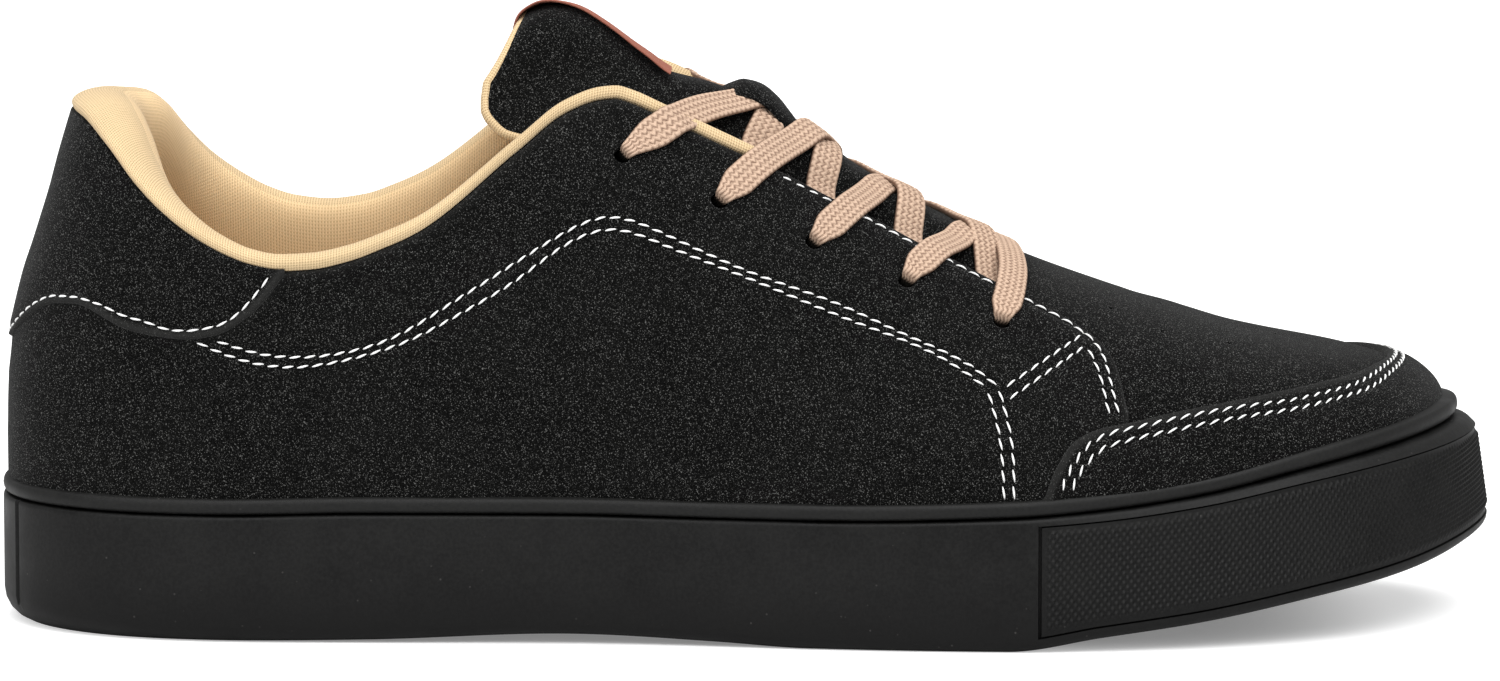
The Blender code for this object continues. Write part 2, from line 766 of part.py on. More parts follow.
def heel_share(x):
    """One round the back of the heel and zero from the ankle forward."""
    return 1 - ease(*HEEL_ROLL, x)


def opening(lines, columns):
    """Places of the upper's own edge: under the collar roll at the back, shut at the throat's front."""
    x = lines[..., 0]
    edge = topline(lines, columns)
    shut = ease(*THROAT_CLOSES, x) * (read(CROWN, "height", x) + 1 - edge)
    place = meet(lines, edge + shut)
    edge_x = at(lines, place)[:, 0]
    roll = BINDING + (HEEL_BINDING - BINDING) * heel_share(edge_x)
    roll = roll * (1 - ease(COLLAR_END, COLLAR_END + COLLAR_FADE, edge_x))
    return np.minimum(place + roll / step_length(lines), LINE_POINTS - 1)


def upper_places(columns, lines):
    """Places of the upper's rows: foot, wall top, swell above the rand, and on to its edge."""
    lip = read(SOLE, "lip", outline_x(columns))[:, None]
    at_lip = meet(lines, lip)
    at_swell = meet(lines, lip + LIP_HEIGHT + FIT)
    low_rows = np.stack([0 * at_lip, at_lip], axis=1)
    return np.concatenate([low_rows, spread(at_swell, opening(lines, columns), UPPER_ROWS)], axis=1)


def add_upper(columns, lines, normals, material):
    """The hollow suede shell, from the cup floor to the collar and throat edge."""
    places = upper_places(columns, lines)
    sealed = places[:, -1] >= LINE_POINTS - 1
    outer = at(lines, places)
    inner = outer - unit(at(normals, places)) * UPPER_WALL
    return add_shell("upper", outer, inner, material, True, sealed)


def panel_grids(columns, lines, normals, chosen, low, high, thickness):
    """Outer and inner grid of a panel on the chosen columns: the upper's rows between two places."""
    low = low[chosen, None]
    high = high[chosen, None]
    places = upper_places(columns, lines)[chosen]
    places = np.where(places < low + ROW_SNAP, low, places)
    places = np.where(places > high - ROW_SNAP, high, places)
    places[:, 0] = low[:, 0]
    points = at(lines[chosen], places)
    out = unit(at(normals[chosen], places))
    return points + out * (FIT + thickness), points + out * FIT


def rand_top(columns, lines):
    """Places just above the rand."""
    lip = read(SOLE, "lip", outline_x(columns))
    return meet(lines, lip[:, None] + LIP_HEIGHT + 2 * FIT)


def add_quarters(columns, lines, normals, material):
    """The side panels, one piece round the heel, ending in a raw edge over the vamp."""
    x = lines[..., 0]
    ends_x = outline_x(columns)
    chosen = np.flatnonzero(ends_x < QUARTERS_START)
    guard = meet(lines, read(TOE_EDGE, "height", x) + 2 * FIT)
    low = np.where(ends_x > TOE_GUARD_START, guard, rand_top(columns, lines))
    heel = read(HEEL_EDGE, "height", x) - FIT
    top = topline(lines, columns)
    high = meet(lines, np.where(x < HEEL_PANEL_END + 1, np.minimum(heel, top), top))
    grids = panel_grids(columns, lines, normals, chosen, low, high, PANEL_THICKNESS)
    return add_shell("quarters", *grids, material, False)


def add_heel_panel(columns, lines, normals, material):
    """The panel round the back, from its wavy lower edge up to the collar roll."""
    x = lines[..., 0]
    chosen = np.flatnonzero(outline_x(columns) < HEEL_PANEL_END)
    low = meet(lines, read(HEEL_EDGE, "height", x))
    high = meet(lines, topline(lines, columns))
    grids = panel_grids(columns, lines, normals, chosen, low, high, OVERLAY_THICKNESS)
    return add_shell("heel_panel", *grids, material, False)


def add_toe_guard(columns, lines, normals, material):
    """The guard round the toe, from the rand up to its raw edge."""
    count = len(columns.base)
    half = int(np.flatnonzero(outline_x(columns) < TOE_GUARD_START)[0])
    chosen = np.arange(1 - half, half) % count
    low = rand_top(columns, lines)
    high = meet(lines, read(TOE_EDGE, "height", lines[..., 0]))
    grids = panel_grids(columns, lines, normals, chosen, low, high, OVERLAY_THICKNESS)
    return add_shell("toe_guard", *grids, material, False)


def add_collar(columns, lines, normals, material):
    """The padded lining, rolled over the top edge and down inside the heel and ankle."""
    x = outline_x(columns)
    chosen = np.flatnonzero(x < COLLAR_END + 1)
    lines = lines[chosen]
    normals = normals[chosen]
    edge = opening(lines, Columns(columns.base[chosen], columns.out[chosen]))
    heel = heel_share(at(lines, edge)[:, 0])
    thin = 1 - COLLAR_THINS * ease(*COLLAR_THINNING, at(lines, edge)[:, 0])
    step = step_length(lines)
    lining = COLLAR[-2].side_out
    points = []
    for roll in COLLAR:
        up = roll.side_up + (roll.heel_up - roll.side_up) * heel
        out = roll.side_out + (roll.heel_out - roll.side_out) * heel
        up = np.where(up < -2 * BINDING, up * thin, up)
        out = np.where(out < lining, lining + (out - lining) * thin, out)
        place = edge + np.minimum(up, 0) / step
        rise = unit(at(lines, place + 1) - at(lines, place - 1))
        away = unit(at(normals, place))
        points.append(at(lines, place) + rise * np.maximum(up, 0)[:, None] + away * out[:, None])
    return add_sweep("collar_lining", np.stack(points, axis=1), material, False)


# Tongue, label and lace

def tongue_place(x, share):
    """Where the tongue's surface lies at station x and share of its half width."""
    arc = share * read(TONGUE, "half", x)
    shear = TONGUE_SHEAR * (1 - ease(*SHEAR_FADES, x))
    return x - shear * arc ** 2, arc


def tongue_out(x, arc):
    """How far the tongue's top lies out from the last: low under the quarters, proud in the middle."""
    middle = read(TONGUE, "lift", x)
    side = arc_to_height(x, np.where(arc < 0, -1.0, 1.0), read(TOPLINE, "outer", x))
    roll = ROLL_CLEAR * (1 - ease(COLLAR_END, COLLAR_END + COLLAR_FADE, x))
    width = np.maximum(np.abs(side) - TONGUE_CLEAR - roll, TONGUE_LEAST)
    return middle + (TONGUE_UNDER - middle) * ease(TONGUE_FLAT * width, width, np.abs(arc))


def tongue_grid(stations, shares):
    """Points, normals and offsets of the tongue's top at the given stations and shares of half width."""
    points = []
    normals = []
    offsets = []
    for share in shares:
        x, arc = tongue_place(stations, np.full(len(stations), share))
        spot, normal = on_last(x, arc)
        points.append(spot)
        normals.append(normal)
        offsets.append(tongue_out(stations, arc))
    return np.stack(points, axis=1), np.stack(normals, axis=1), np.stack(offsets, axis=1)[..., None]


def add_tongue(material):
    """The padded tongue, from under the vamp to its free top."""
    stations = np.array([row.along for row in TONGUE]) * LENGTH / 100
    stations = np.sort(np.concatenate([stations, (stations[3:7] + stations[4:8]) / 2]))
    shares = np.linspace(-1, 1, 11)
    points, normals, out = tongue_grid(stations, shares)
    middle = read(TONGUE, "thick", stations)[:, None]
    thick = TONGUE_EDGE + np.maximum(middle - TONGUE_EDGE, 0) * (1 - shares ** 2)[None, :]
    top = points + normals * out
    under = points + normals * (out - thick[..., None])
    return add_shell("tongue", top, under, material, False)


def add_label(material):
    """The bare patch over the top of the tongue."""
    stations = np.array([row.along for row in LABEL]) * LENGTH / 100
    lift = np.array([row.out for row in LABEL])[:, None, None]
    half = LABEL_WIDTH / 2 / TONGUE[0].half
    points, normals, out = tongue_grid(stations, np.linspace(-half, half, 7))
    under = points + normals * (out + lift)
    top = under + normals * LABEL_THICKNESS
    return add_shell("tongue_label", top, under, material, False)


def lace_path(start, height, crown, dive, side):
    """Stations and distances from the crown line of one strand, from its eyelet over to the far side."""
    first = arc_to_height(np.array([start]), np.array([side]), np.array([height]))[0]
    throat = read(TOPLINE, "outer", dive)
    last = arc_to_height(np.array([dive]), np.array([-side]), np.array([throat]))[0]
    roll = ROLL_CLEAR if dive < COLLAR_END + COLLAR_FADE else 0.0
    last = last - np.sign(last) * (DIVE_CLEAR + roll)
    near = np.linspace(0, 1, NEAR_POINTS, endpoint=False)
    far = np.linspace(0, 1, FAR_POINTS)
    x = np.concatenate([start + (crown - start) * near, crown + (dive - crown) * far])
    arc = np.concatenate([first * (1 - near), last * far])
    arc[NEAR_POINTS] = side * 0.01
    return x, arc


def lace_out(x, arc, own):
    """Height of the lace's middle over the last: on the quarter, over its edge and on the tongue."""
    edge = np.abs(arc_to_height(x, np.where(arc < 0, -1.0, 1.0), read(TOPLINE, "outer", x)))
    on_quarter = 2 * FIT + PANEL_THICKNESS - LACE_SAG * np.clip(1 - np.abs(arc) / edge, 0, 1)
    on_tongue = np.maximum(tongue_out(x, arc), tongue_out(x, arc * 0.7)) + FIT
    roll = np.where(x < COLLAR_END + COLLAR_FADE, OVER_ROLL, OVER_EDGE)
    near_edge = np.exp(-((np.abs(arc) - edge + 2) / EDGE_REACH) ** 2)
    over_edge = np.maximum(on_quarter, on_tongue) + roll * near_edge
    return np.where(own, over_edge, on_tongue) + LACE_THICKNESS / 2 + LACE_LIFT


def add_ribbon(name, x, arc, own, material):
    """A flat strand over the places given by x and the distance from the crown line."""
    points, normals = on_last(x, arc)
    points = points + normals * lace_out(x, arc, own)[:, None]
    across = unit(np.cross(np.gradient(points, axis=0), normals))
    half = LACE_WIDTH / 2 * across
    lift = LACE_THICKNESS / 2 * normals
    corners = (points - half - lift, points + half - lift, points + half + lift, points - half + lift)
    return add_sweep(name, np.stack(corners, axis=1), material, False)


def add_lace(material):
    """Four crossings of two strands each, and a bar at the front."""
    for i, row in enumerate(LACING[:-1]):
        strands = []
        for side in (-1.0, 1.0):
            x, arc = lace_path(row.eyelet, row.height, row.crown, row.dive, side)
            name = f"lace_crossing_{i + 1}" if side < 0 else f"lace_strand_{i + 1}"
            strands.append(add_ribbon(name, x, arc, arc * side >= 0, material))
        add_boolean(strands[0], strands[1], "UNION")
    bar = LACING[-1]
    x = np.array([bar.eyelet])
    ends = [arc_to_height(x, np.array([side]), np.array([bar.height]))[0] for side in (-1.0, 1.0)]
    arc = np.linspace(*ends, BAR_POINTS)
    x = bar.eyelet + (bar.crown - bar.eyelet) * (1 - np.linspace(-1, 1, BAR_POINTS) ** 2)
    add_ribbon("lace_bar", x, arc, np.full(BAR_POINTS, True), material)


def add_eyelet_cutters(material):
    """Short rods through the quarters and the upper, one for each punched eyelet."""
    points = []
    faces = []
    turn = np.arange(EYELET_SIDES) * 2 * np.pi / EYELET_SIDES
    for row in LACING:
        for side in (-1.0, 1.0):
            x = np.array([row.eyelet])
            spot, normal = on_last(x, arc_to_height(x, np.array([side]), np.array([row.height])))
            first = unit(np.cross(normal, np.array([[0.0, 0.0, 1.0]])))
            second = np.cross(normal, first)
            ring = first * np.cos(turn)[:, None] + second * np.sin(turn)[:, None]
            start = len(points)
            for depth in (-CUTTER_DEPTH, CUTTER_DEPTH):
                points.extend(spot + normal * depth + ring * EYELET_RADIUS)
            lower = list(range(start, start + EYELET_SIDES))
            upper = list(range(start + EYELET_SIDES, start + 2 * EYELET_SIDES))
            faces.append(lower[::-1])
            faces.append(upper)
            for k in range(EYELET_SIDES):
                n = (k + 1) % EYELET_SIDES
                faces.append([lower[k], lower[n], upper[n], upper[k]])
    return add_object("eyelet_cutters", points, faces, material)


def build():
    """Makes every piece of the shoe."""
    for old in list(bpy.data.objects):
        bpy.data.objects.remove(old)
    rubber = add_material("black_rubber", (0.020, 0.020, 0.019), 0.55)
    suede = add_material("black_suede", (0.017, 0.017, 0.018), 0.95)
    knit = add_material("beige_knit", (0.70, 0.52, 0.30), 0.9)
    braid = add_material("beige_braid", (0.62, 0.45, 0.34), 0.9)
    leather = add_material("brown_leather", (0.25, 0.09, 0.06), 0.6)
    columns = loop_columns(STATIONS, HEEL_ANGLES, TOE_ANGLES)
    lines = wall_lines(columns)
    normals = line_normals(lines, columns)
    add_cup_sole(rubber)
    add_toe_bumper(rubber)
    add_rand(columns, rubber)
    add_insole(columns, knit)
    upper = add_upper(columns, lines, normals, suede)
    quarters = add_quarters(columns, lines, normals, suede)
    add_heel_panel(columns, lines, normals, suede)
    add_toe_guard(columns, lines, normals, suede)
    add_collar(columns, lines, normals, knit)
    add_tongue(suede)
    add_label(leather)
    add_lace(braid)
    cutters = add_eyelet_cutters(suede)
    add_boolean(upper, cutters, "DIFFERENCE")
    add_boolean(quarters, cutters, "DIFFERENCE")


build()
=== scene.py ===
# %% [markdown]
# # A suede sneaker, dressed
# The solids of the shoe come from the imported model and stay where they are. This file gives them their
# looks: suede panels with stitched edges, a knit collar, a braided lace and a textured rubber sole.

import bmesh
import bpy
import numpy as np
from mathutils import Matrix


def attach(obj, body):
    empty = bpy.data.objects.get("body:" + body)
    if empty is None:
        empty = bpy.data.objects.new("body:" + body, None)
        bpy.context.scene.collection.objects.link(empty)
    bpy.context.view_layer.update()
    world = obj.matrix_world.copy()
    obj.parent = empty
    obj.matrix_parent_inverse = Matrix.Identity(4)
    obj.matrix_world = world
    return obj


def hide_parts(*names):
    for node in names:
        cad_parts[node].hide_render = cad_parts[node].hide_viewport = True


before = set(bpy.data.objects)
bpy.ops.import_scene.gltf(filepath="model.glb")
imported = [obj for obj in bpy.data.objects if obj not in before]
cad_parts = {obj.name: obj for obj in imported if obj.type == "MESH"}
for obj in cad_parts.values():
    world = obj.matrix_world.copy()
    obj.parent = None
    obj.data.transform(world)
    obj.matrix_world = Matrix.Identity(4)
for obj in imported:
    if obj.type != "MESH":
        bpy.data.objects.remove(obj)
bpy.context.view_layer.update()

print("nodes:", sorted(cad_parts))

# %% [markdown]
# A shoe is made on a last, a foot form. Short tables describe it, in millimetres from the back of the
# heel: x to the toe, y to the inner side of the foot, z up. They are those that the solids were made from,
# with some rows set finer after the photograph, so a surface worked out from them lies within about three
# millimetres of the solid, only with many more points.

# %% Tables of the last
MM = 0.001
LENGTH = 300.0
BALL_WIDTH = 107.0
FIT = 0.35
HEEL_PIVOT = 42.0
TOE_PIVOT = 238.0
CUP_WALL = 4.2
LIP_HEIGHT = 3.6
UPPER_WALL = 1.6


def table(names, *rows):
    """Named columns of the rows, as arrays."""
    values = np.array(rows, float)
    return {name: values[:, i] for i, name in enumerate(names.split())}


OUTLINE = np.array([
    (100.0, 7.5), (97.2, -17.5), (90.0, -38.0), (78.7, -49.0), (66.7, -51.0), (55.0, -47.7),
    (43.3, -42.0), (31.7, -40.0), (20.0, -39.4), (9.0, -35.2), (1.9, -20.0), (0.0, 0.0),
    (1.9, 18.7), (9.0, 32.3), (20.0, 34.6), (31.7, 34.1), (43.3, 36.0), (55.0, 42.0),
    (66.7, 48.2), (78.7, 49.0), (90.0, 42.0), (97.4, 28.0),
])
SOLE = table(
    "along bottom corner floor lip set_back tuck",
    (0, 0.0, 6.0, 15.0, 25.2, 0.0, 2.2),
    (15, 0.0, 3.6, 15.0, 25.0, 0.0, 2.2),
    (25, 0.4, 3.0, 14.5, 25.5, 0.0, 2.2),
    (38, 1.8, 2.5, 13.0, 25.5, 0.0, 2.2),
    (48, 0.8, 2.5, 11.5, 25.2, 0.0, 2.2),
    (54, 0.0, 2.5, 11.0, 25.2, 0.0, 2.2),
    (67, 0.0, 2.2, 10.5, 26.2, 0.4, 2.2),
    (73, 2.7, 2.0, 12.9, 27.6, 1.2, 2.2),
    (80, 5.6, 2.0, 16.1, 30.4, 2.0, 2.2),
    (87, 9.3, 2.0, 20.2, 34.3, 3.0, 2.5),
    (94, 13.0, 2.0, 24.8, 37.4, 4.6, 3.4),
    (100, 17.4, 2.0, 29.6, 39.5, 6.2, 4.6),
)
CROWN = table(
    "along height",
    (0, 136.0), (14, 134.0), (28, 126.0), (35, 121.0), (40, 116.5), (45, 110.0), (50, 102.5), (57, 89.8),
    (63, 79.8), (69, 72.0), (73, 67.5), (77, 63.3), (81, 59.4), (85, 56.5), (89, 54.5), (93, 53.0),
    (98, 52.2),
)
SECTIONS = table(
    "along lean breadth rise",
    (0, 0.06, 2.0, 1.76), (14, 0.10, 2.2, 2.2), (20, 0.12, 2.3, 2.2), (32, 0.18, 2.3, 2.5),
    (41, 0.12, 2.3, 3.5), (50, 0.12, 2.1, 2.5), (57, 0.12, 2.0, 1.9), (67, 0.08, 2.1, 2.0),
    (79, 0.05, 2.4, 2.0), (90, 0.02, 3.4, 1.7), (100, 0.0, 6.0, 1.4),
)
SPINE = table("along across", (14, -0.6), (40, -1.5), (67, 0.0), (79, 2.5))
TOPLINE = table(
    "along outer inner",
    (4.7, 102.3, 102.3), (6.2, 101.0, 101.0), (8.0, 96.2, 100.0), (9.9, 89.2, 96.8), (11.6, 84.0, 92.0),
    (13.5, 79.6, 86.8), (15.7, 75.9, 82.4), (17.5, 73.9, 79.7), (19.3, 73.0, 78.1), (21.4, 73.3, 77.5),
    (23.8, 74.8, 78.4), (26.0, 77.2, 80.7), (28.5, 80.6, 84.4), (35.0, 96.0, 99.6), (38.0, 103.0, 105.6),
    (40.3, 105.5, 108.3), (41.2, 105.7, 109.0), (42.2, 104.9, 109.2), (44.2, 102.2, 108.2),
    (46.5, 98.9, 105.0), (50.0, 93.9, 98.2), (52.0, 91.2, 94.6), (55.3, 85.9, 87.4), (58.7, 80.8, 80.9),
    (61.0, 77.1, 77.1), (63.3, 73.8, 73.8), (65.7, 70.2, 70.2), (68.3, 66.4, 66.4), (70.2, 63.7, 63.7),
    (71.8, 61.1, 61.1), (73.3, 57.9, 57.9), (74.2, 54.0, 54.0), (74.8, 46.5, 46.5),
)
HEEL_EDGE = table(
    "along height",
    (0.6, 54.6), (1.1, 56.2), (2.1, 60.2), (3.2, 63.2), (4.5, 65.1), (6.0, 65.4), (7.4, 63.8), (9.1, 61.3),
    (11.0, 60.1), (13.1, 59.5), (15.1, 60.3), (17.0, 63.3), (18.3, 66.8), (19.3, 70.7), (19.9, 73.0),
    (20.8, 77.5),
)
TOE_EDGE = table(
    "along height",
    (69.3, 30.5), (70.0, 35.7), (71.3, 41.0), (73.0, 43.2), (75.0, 44.2), (78.2, 45.9), (82.6, 47.6),
    (86.6, 49.0), (89.6, 49.9), (92.0, 50.8), (93.5, 51.0), (95.0, 50.6),
)
HEEL_CONTOUR = table(
    "height out",
    (33.0, 0.0), (40.0, 0.4), (46.0, 1.0), (52.0, 1.5), (58.0, 1.5), (64.0, 1.0), (70.0, 0.5), (74.0, 0.0),
    (80.0, -0.5), (88.0, -1.0), (100.0, -1.0),
)
HEEL_CONTOUR_GROWS = (0.2, 1.0)
print("last:", LENGTH, "mm long,", BALL_WIDTH, "mm wide")

# %% [markdown]
# Curves through the rows of a table must not swing past them, or an edge would wave. This cubic takes the
# harmonic mean of the two neighbouring slopes, and a flat tangent where the curve turns.

# %% Curves
def smooth(xs, ys, x):
    """Cubic through (xs, ys) whose slope at a row is the harmonic mean of its neighbours' slopes."""
    step = np.diff(xs)
    slope = np.diff(ys) / step
    product = slope[1:] * slope[:-1]
    total = np.where(product > 0, slope[1:] + slope[:-1], 1.0)
    inner = np.where(product > 0, 2 * product / total, 0.0)
    tangent = np.concatenate([slope[:1], inner, slope[-1:]])
    i = np.clip(np.searchsorted(xs, x) - 1, 0, len(step) - 1)
    t = np.clip((x - xs[i]) / step[i], 0, 1)
    start = ys[i] * (1 + 2 * t) + tangent[i] * step[i] * t
    end = ys[i + 1] * (3 - 2 * t) + tangent[i + 1] * step[i] * (t - 1)
    return start * (1 - t) ** 2 + end * t ** 2


def read(rows, column, x):
    """A table's column at x millimetres from the heel."""
    return smooth(rows["along"] * LENGTH / 100, rows[column], np.asarray(x, float))


def ease(low, high, x):
    """Zero below low, one above high, and 3t^2 - 2t^3 between."""
    t = np.clip((np.asarray(x, float) - low) / (high - low), 0, 1)
    return t * t * (3 - 2 * t)


def unit(vectors):
    """Vectors of length one."""
    return vectors / np.maximum(np.linalg.norm(vectors, axis=-1, keepdims=True), 1e-12)


def run_length(points):
    """Distance run along a line of points."""
    return np.concatenate([[0.0], np.cumsum(np.linalg.norm(np.diff(points, axis=0), axis=1))])


def resampled(run, rows, even):
    """Rows known at the distances run, read at other distances."""
    return np.stack([np.interp(even, run, axis) for axis in rows.T], axis=1)


def curve(points, step):
    """Natural cubic spline through the points, read every step millimetres along it."""
    points = np.array(points, float)
    run = run_length(points)
    gap = np.diff(run)
    count = len(run)
    system = np.eye(count)
    right = np.zeros_like(points)
    row = np.arange(1, count - 1)
    system[row, row - 1] = gap[:-1]
    system[row, row] = 2 * (gap[:-1] + gap[1:])
    system[row, row + 1] = gap[1:]
    rise = np.diff(points, axis=0) / gap[:, None]
    right[1:-1] = 6 * np.diff(rise, axis=0)
    bend = np.linalg.solve(system, right)
    fine = np.linspace(0, run[-1], max(int(run[-1] / step) * 4, 8))
    i = np.clip(np.searchsorted(run, fine) - 1, 0, count - 2)
    a = ((run[i + 1] - fine) / gap[i])[:, None]
    b = 1 - a
    bow = ((a ** 3 - a) * bend[i] + (b ** 3 - b) * bend[i + 1]) * (gap[i] ** 2)[:, None] / 6
    line = a * points[i] + b * points[i + 1] + bow
    length = run_length(line)
    even = np.linspace(0, length[-1], max(int(length[-1] / step), 2) + 1)
    return resampled(length, line, even)


def closed_spline(marks, per_span):
    """Closed cubic spline through the marks, its tangents solved so that curvature is even."""
    one = np.eye(len(marks))
    system = 4 * one + np.roll(one, 1, axis=0) + np.roll(one, -1, axis=0)
    after = np.roll(marks, -1, axis=0)
    tangent = np.linalg.solve(system, 3 * (after - np.roll(marks, 1, axis=0)))
    t = np.linspace(0, 1, per_span, endpoint=False)[:, None]
    start = marks[:, None] * (1 + 2 * t) + tangent[:, None] * t
    end = after[:, None] * (3 - 2 * t) + np.roll(tangent, -1, axis=0)[:, None] * (t - 1)
    return (start * (1 - t) ** 2 + end * t ** 2).reshape(-1, marks.shape[1])


OUTER_LINE = closed_spline(OUTLINE * np.array([LENGTH, BALL_WIDTH]) / 100, 40)
CENTRE = np.append((OUTER_LINE.min(axis=0) + OUTER_LINE.max(axis=0)) / 2, 0.0)
print("centre of the sole:", CENTRE)

# %% [markdown]
# Columns stand round the last like the staves of a barrel: a fan at the toe, straight rows along both
# sides and a fan at the heel. Each column carries one line up the outside of the upper, so any place on
# the shoe is a column number and a place along its line.

# %% Columns and their lines
LINE_POINTS = 161


def inset_line(inset, set_back=1.0):
    """The sole's outline moved in by inset, and by a share of the wall top's set-back."""
    along = unit(np.roll(OUTER_LINE, -1, axis=0) - np.roll(OUTER_LINE, 1, axis=0))
    inward = np.stack([along[:, 1], -along[:, 0]], axis=1)
    back = read(SOLE, "set_back", OUTER_LINE[:, 0])
    return OUTER_LINE + inward * (inset + set_back * back)[:, None]


def fan(pivot, degrees):
    """Feet and directions of columns that share one foot on the spine."""
    angle = np.radians(degrees)
    foot = (pivot, float(read(SPINE, "across", pivot)))
    return np.tile(foot, (len(angle), 1)), np.stack([np.cos(angle), np.sin(angle)], axis=1)


def beside(x, side):
    """Feet and directions of columns across the shoe at x, outer side -1 and inner side 1."""
    x = np.asarray(x, float)
    side = np.broadcast_to(np.asarray(side, float), x.shape)
    base = np.stack([x, read(SPINE, "across", x)], axis=1)
    return base, np.stack([np.zeros_like(side), side], axis=1)


def joined(*runs):
    """Several runs of columns as one."""
    return np.concatenate([run[0] for run in runs]), np.concatenate([run[1] for run in runs])


def reach(columns, inset, set_back=1.0):
    """Distance from each column's foot to where it crosses the outline moved in by inset."""
    base, out = columns
    away = inset_line(inset, set_back)[None] - base[:, None]
    along = (away * out[:, None]).sum(axis=2)
    across = away[..., 1] * out[:, :1] - away[..., 0] * out[:, 1:]
    next_along = np.roll(along, -1, axis=1)
    next_across = np.roll(across, -1, axis=1)
    hit = (across * next_across <= 0) & (along > 0)
    share = across / np.where(hit & (across != next_across), across - next_across, 1.0)
    return np.where(hit, along + share * (next_along - along), 0.0).max(axis=1)


def standing(columns, reaches, heights):
    """Points on the columns at the given reaches and heights."""
    flat = columns[0][:, None] + columns[1][:, None] * reaches[..., None]
    return np.concatenate([flat, heights[..., None]], axis=2)


def outline_x(columns):
    """The x at which each column meets the sole's outline."""
    return columns[0][:, 0] + columns[1][:, 0] * reach(columns, 0.0, 0.0)


def even_lines(lines):
    """The same lines with points at even distances, all lines read in one interpolation."""
    steps = np.linalg.norm(np.diff(lines, axis=1), axis=2)
    run = np.concatenate([np.zeros((len(lines), 1)), np.cumsum(steps, axis=1)], axis=1)
    offset = 2.0 * np.arange(len(lines))[:, None]
    known = (run / run[:, -1:] + offset).ravel()
    wanted = (np.linspace(0, 1, LINE_POINTS)[None] + offset).ravel()
    axes = [np.interp(wanted, known, lines[..., k].ravel()) for k in range(3)]
    return np.stack(axes, axis=1).reshape(len(lines), LINE_POINTS, 3)


def wall_lines(columns):
    """Lines from the cup floor up to the crown: straight in the cup, a flare over its lip, then an arc
    whose reach is cos(a)^(2/breadth) and whose rise is sin(a)^(2/rise). Round the heel the arc is moved
    out by the heel's contour."""
    inside = reach(columns, CUP_WALL + FIT)[:, None]
    outside = reach(columns, read(SOLE, "tuck", OUTER_LINE[:, 0]))[:, None]
    end = outline_x(columns)[:, None]
    floor = read(SOLE, "floor", columns[0][:, :1] + columns[1][:, :1] * inside) + FIT
    lip = read(SOLE, "lip", end)
    swell = lip + LIP_HEIGHT + FIT
    t = np.linspace(0, 1, 90)[None, :]
    angle = np.pi / 2 * (1 - (1 - t) ** 2)
    cosine = np.cos(angle)
    cosine[:, -1] = 0.0
    share = np.sin(angle) ** (2 / read(SECTIONS, "rise", end))
    narrow = 1 - read(SECTIONS, "lean", end) * share
    arc = outside * narrow * cosine ** (2 / read(SECTIONS, "breadth", end))
    flare = inside + (outside - inside) * ease(0, 1, t)
    x = columns[0][:, :1] + columns[1][:, :1] * arc
    high = swell + (read(CROWN, "height", x) - swell) * share
    contour = smooth(HEEL_CONTOUR["height"], HEEL_CONTOUR["out"], high)
    arc = arc + contour * ease(*HEEL_CONTOUR_GROWS, -columns[1][:, :1])
    reaches = np.concatenate([inside + 0 * t, flare[:, 1:], arc[:, 1:]], axis=1)
    heights = [floor + (lip - floor) * t, (lip + (swell - lip) * t)[:, 1:], high[:, 1:]]
    return even_lines(standing(columns, reaches, np.concatenate(heights, axis=1)))


def meet(lines, height):
    """Place along each line where it first rises past a height, or its end."""
    gap = lines[..., 2] - height
    above = gap >= 0
    first = np.maximum(above.argmax(axis=1), 1)
    row = np.arange(len(lines))
    low = gap[row, first - 1]
    high = gap[row, first]
    place = first - high / np.where(high == low, 1, high - low)
    return np.where(above.any(axis=1), place, LINE_POINTS - 1.0)


def at(values, place):
    """Values along the lines, points or normals, read at places by straight interpolation."""
    place = np.clip(place, 0, LINE_POINTS - 1)
    low = np.minimum(place.astype(int), LINE_POINTS - 2)
    share = (place - low)[..., None]
    row = np.arange(len(values)).reshape((-1,) + (1,) * (place.ndim - 1))
    return values[row, low] * (1 - share) + values[row, low + 1] * share


SIDE_X = np.concatenate([np.arange(42, 194, 1.0), np.arange(194, 226, 0.5), np.arange(226, 238.5, 1.0)])
TOE_FAN = np.linspace(0, 87.5, 36)
HEEL_FAN = np.linspace(87, -87, 59)
COLUMNS = joined(
    fan(TOE_PIVOT, -TOE_FAN), beside(SIDE_X[::-1], -1), fan(HEEL_PIVOT, 180 + HEEL_FAN),
    beside(SIDE_X, 1), fan(TOE_PIVOT, TOE_FAN[:0:-1]),
)
COUNT = len(COLUMNS[0])
HEEL_BACK = len(TOE_FAN) + len(SIDE_X) + len(HEEL_FAN) // 2
LINES = wall_lines(COLUMNS)
END_X = outline_x(COLUMNS)
STEP = np.linalg.norm(LINES[:, 1] - LINES[:, 0], axis=1)
OUTER_SIDE = COLUMNS[1][:, 1] < 0


def line_normals(lines):
    """Outward normals: the cross product of the way up a line and the way round the loop."""
    across = np.roll(lines, -1, axis=0) - np.roll(lines, 1, axis=0)
    normals = unit(np.cross(np.gradient(lines, axis=1), across))
    x = COLUMNS[0][:, 0]
    slope = (read(CROWN, "height", x + 1) - read(CROWN, "height", x - 1)) / 2
    normals[:, -1] = unit(np.stack([-slope, 0 * slope, 1 + 0 * slope], axis=1))
    return normals


NORMALS = line_normals(LINES)
print("columns:", COUNT, "lines of", LINE_POINTS, "points")

# %% [markdown]
# Seams are read off the side of the shoe as x and z. To sew them on, each such pair is turned into a column
# number and a place along its line: at the wanted height every column of that side has one x, and the
# columns are searched for the wanted one.

# %% From side-view places to the surface
OUTER_HALF = np.arange(0, HEEL_BACK + 1)
INNER_HALF = np.arange(COUNT, HEEL_BACK - 1, -1) % COUNT


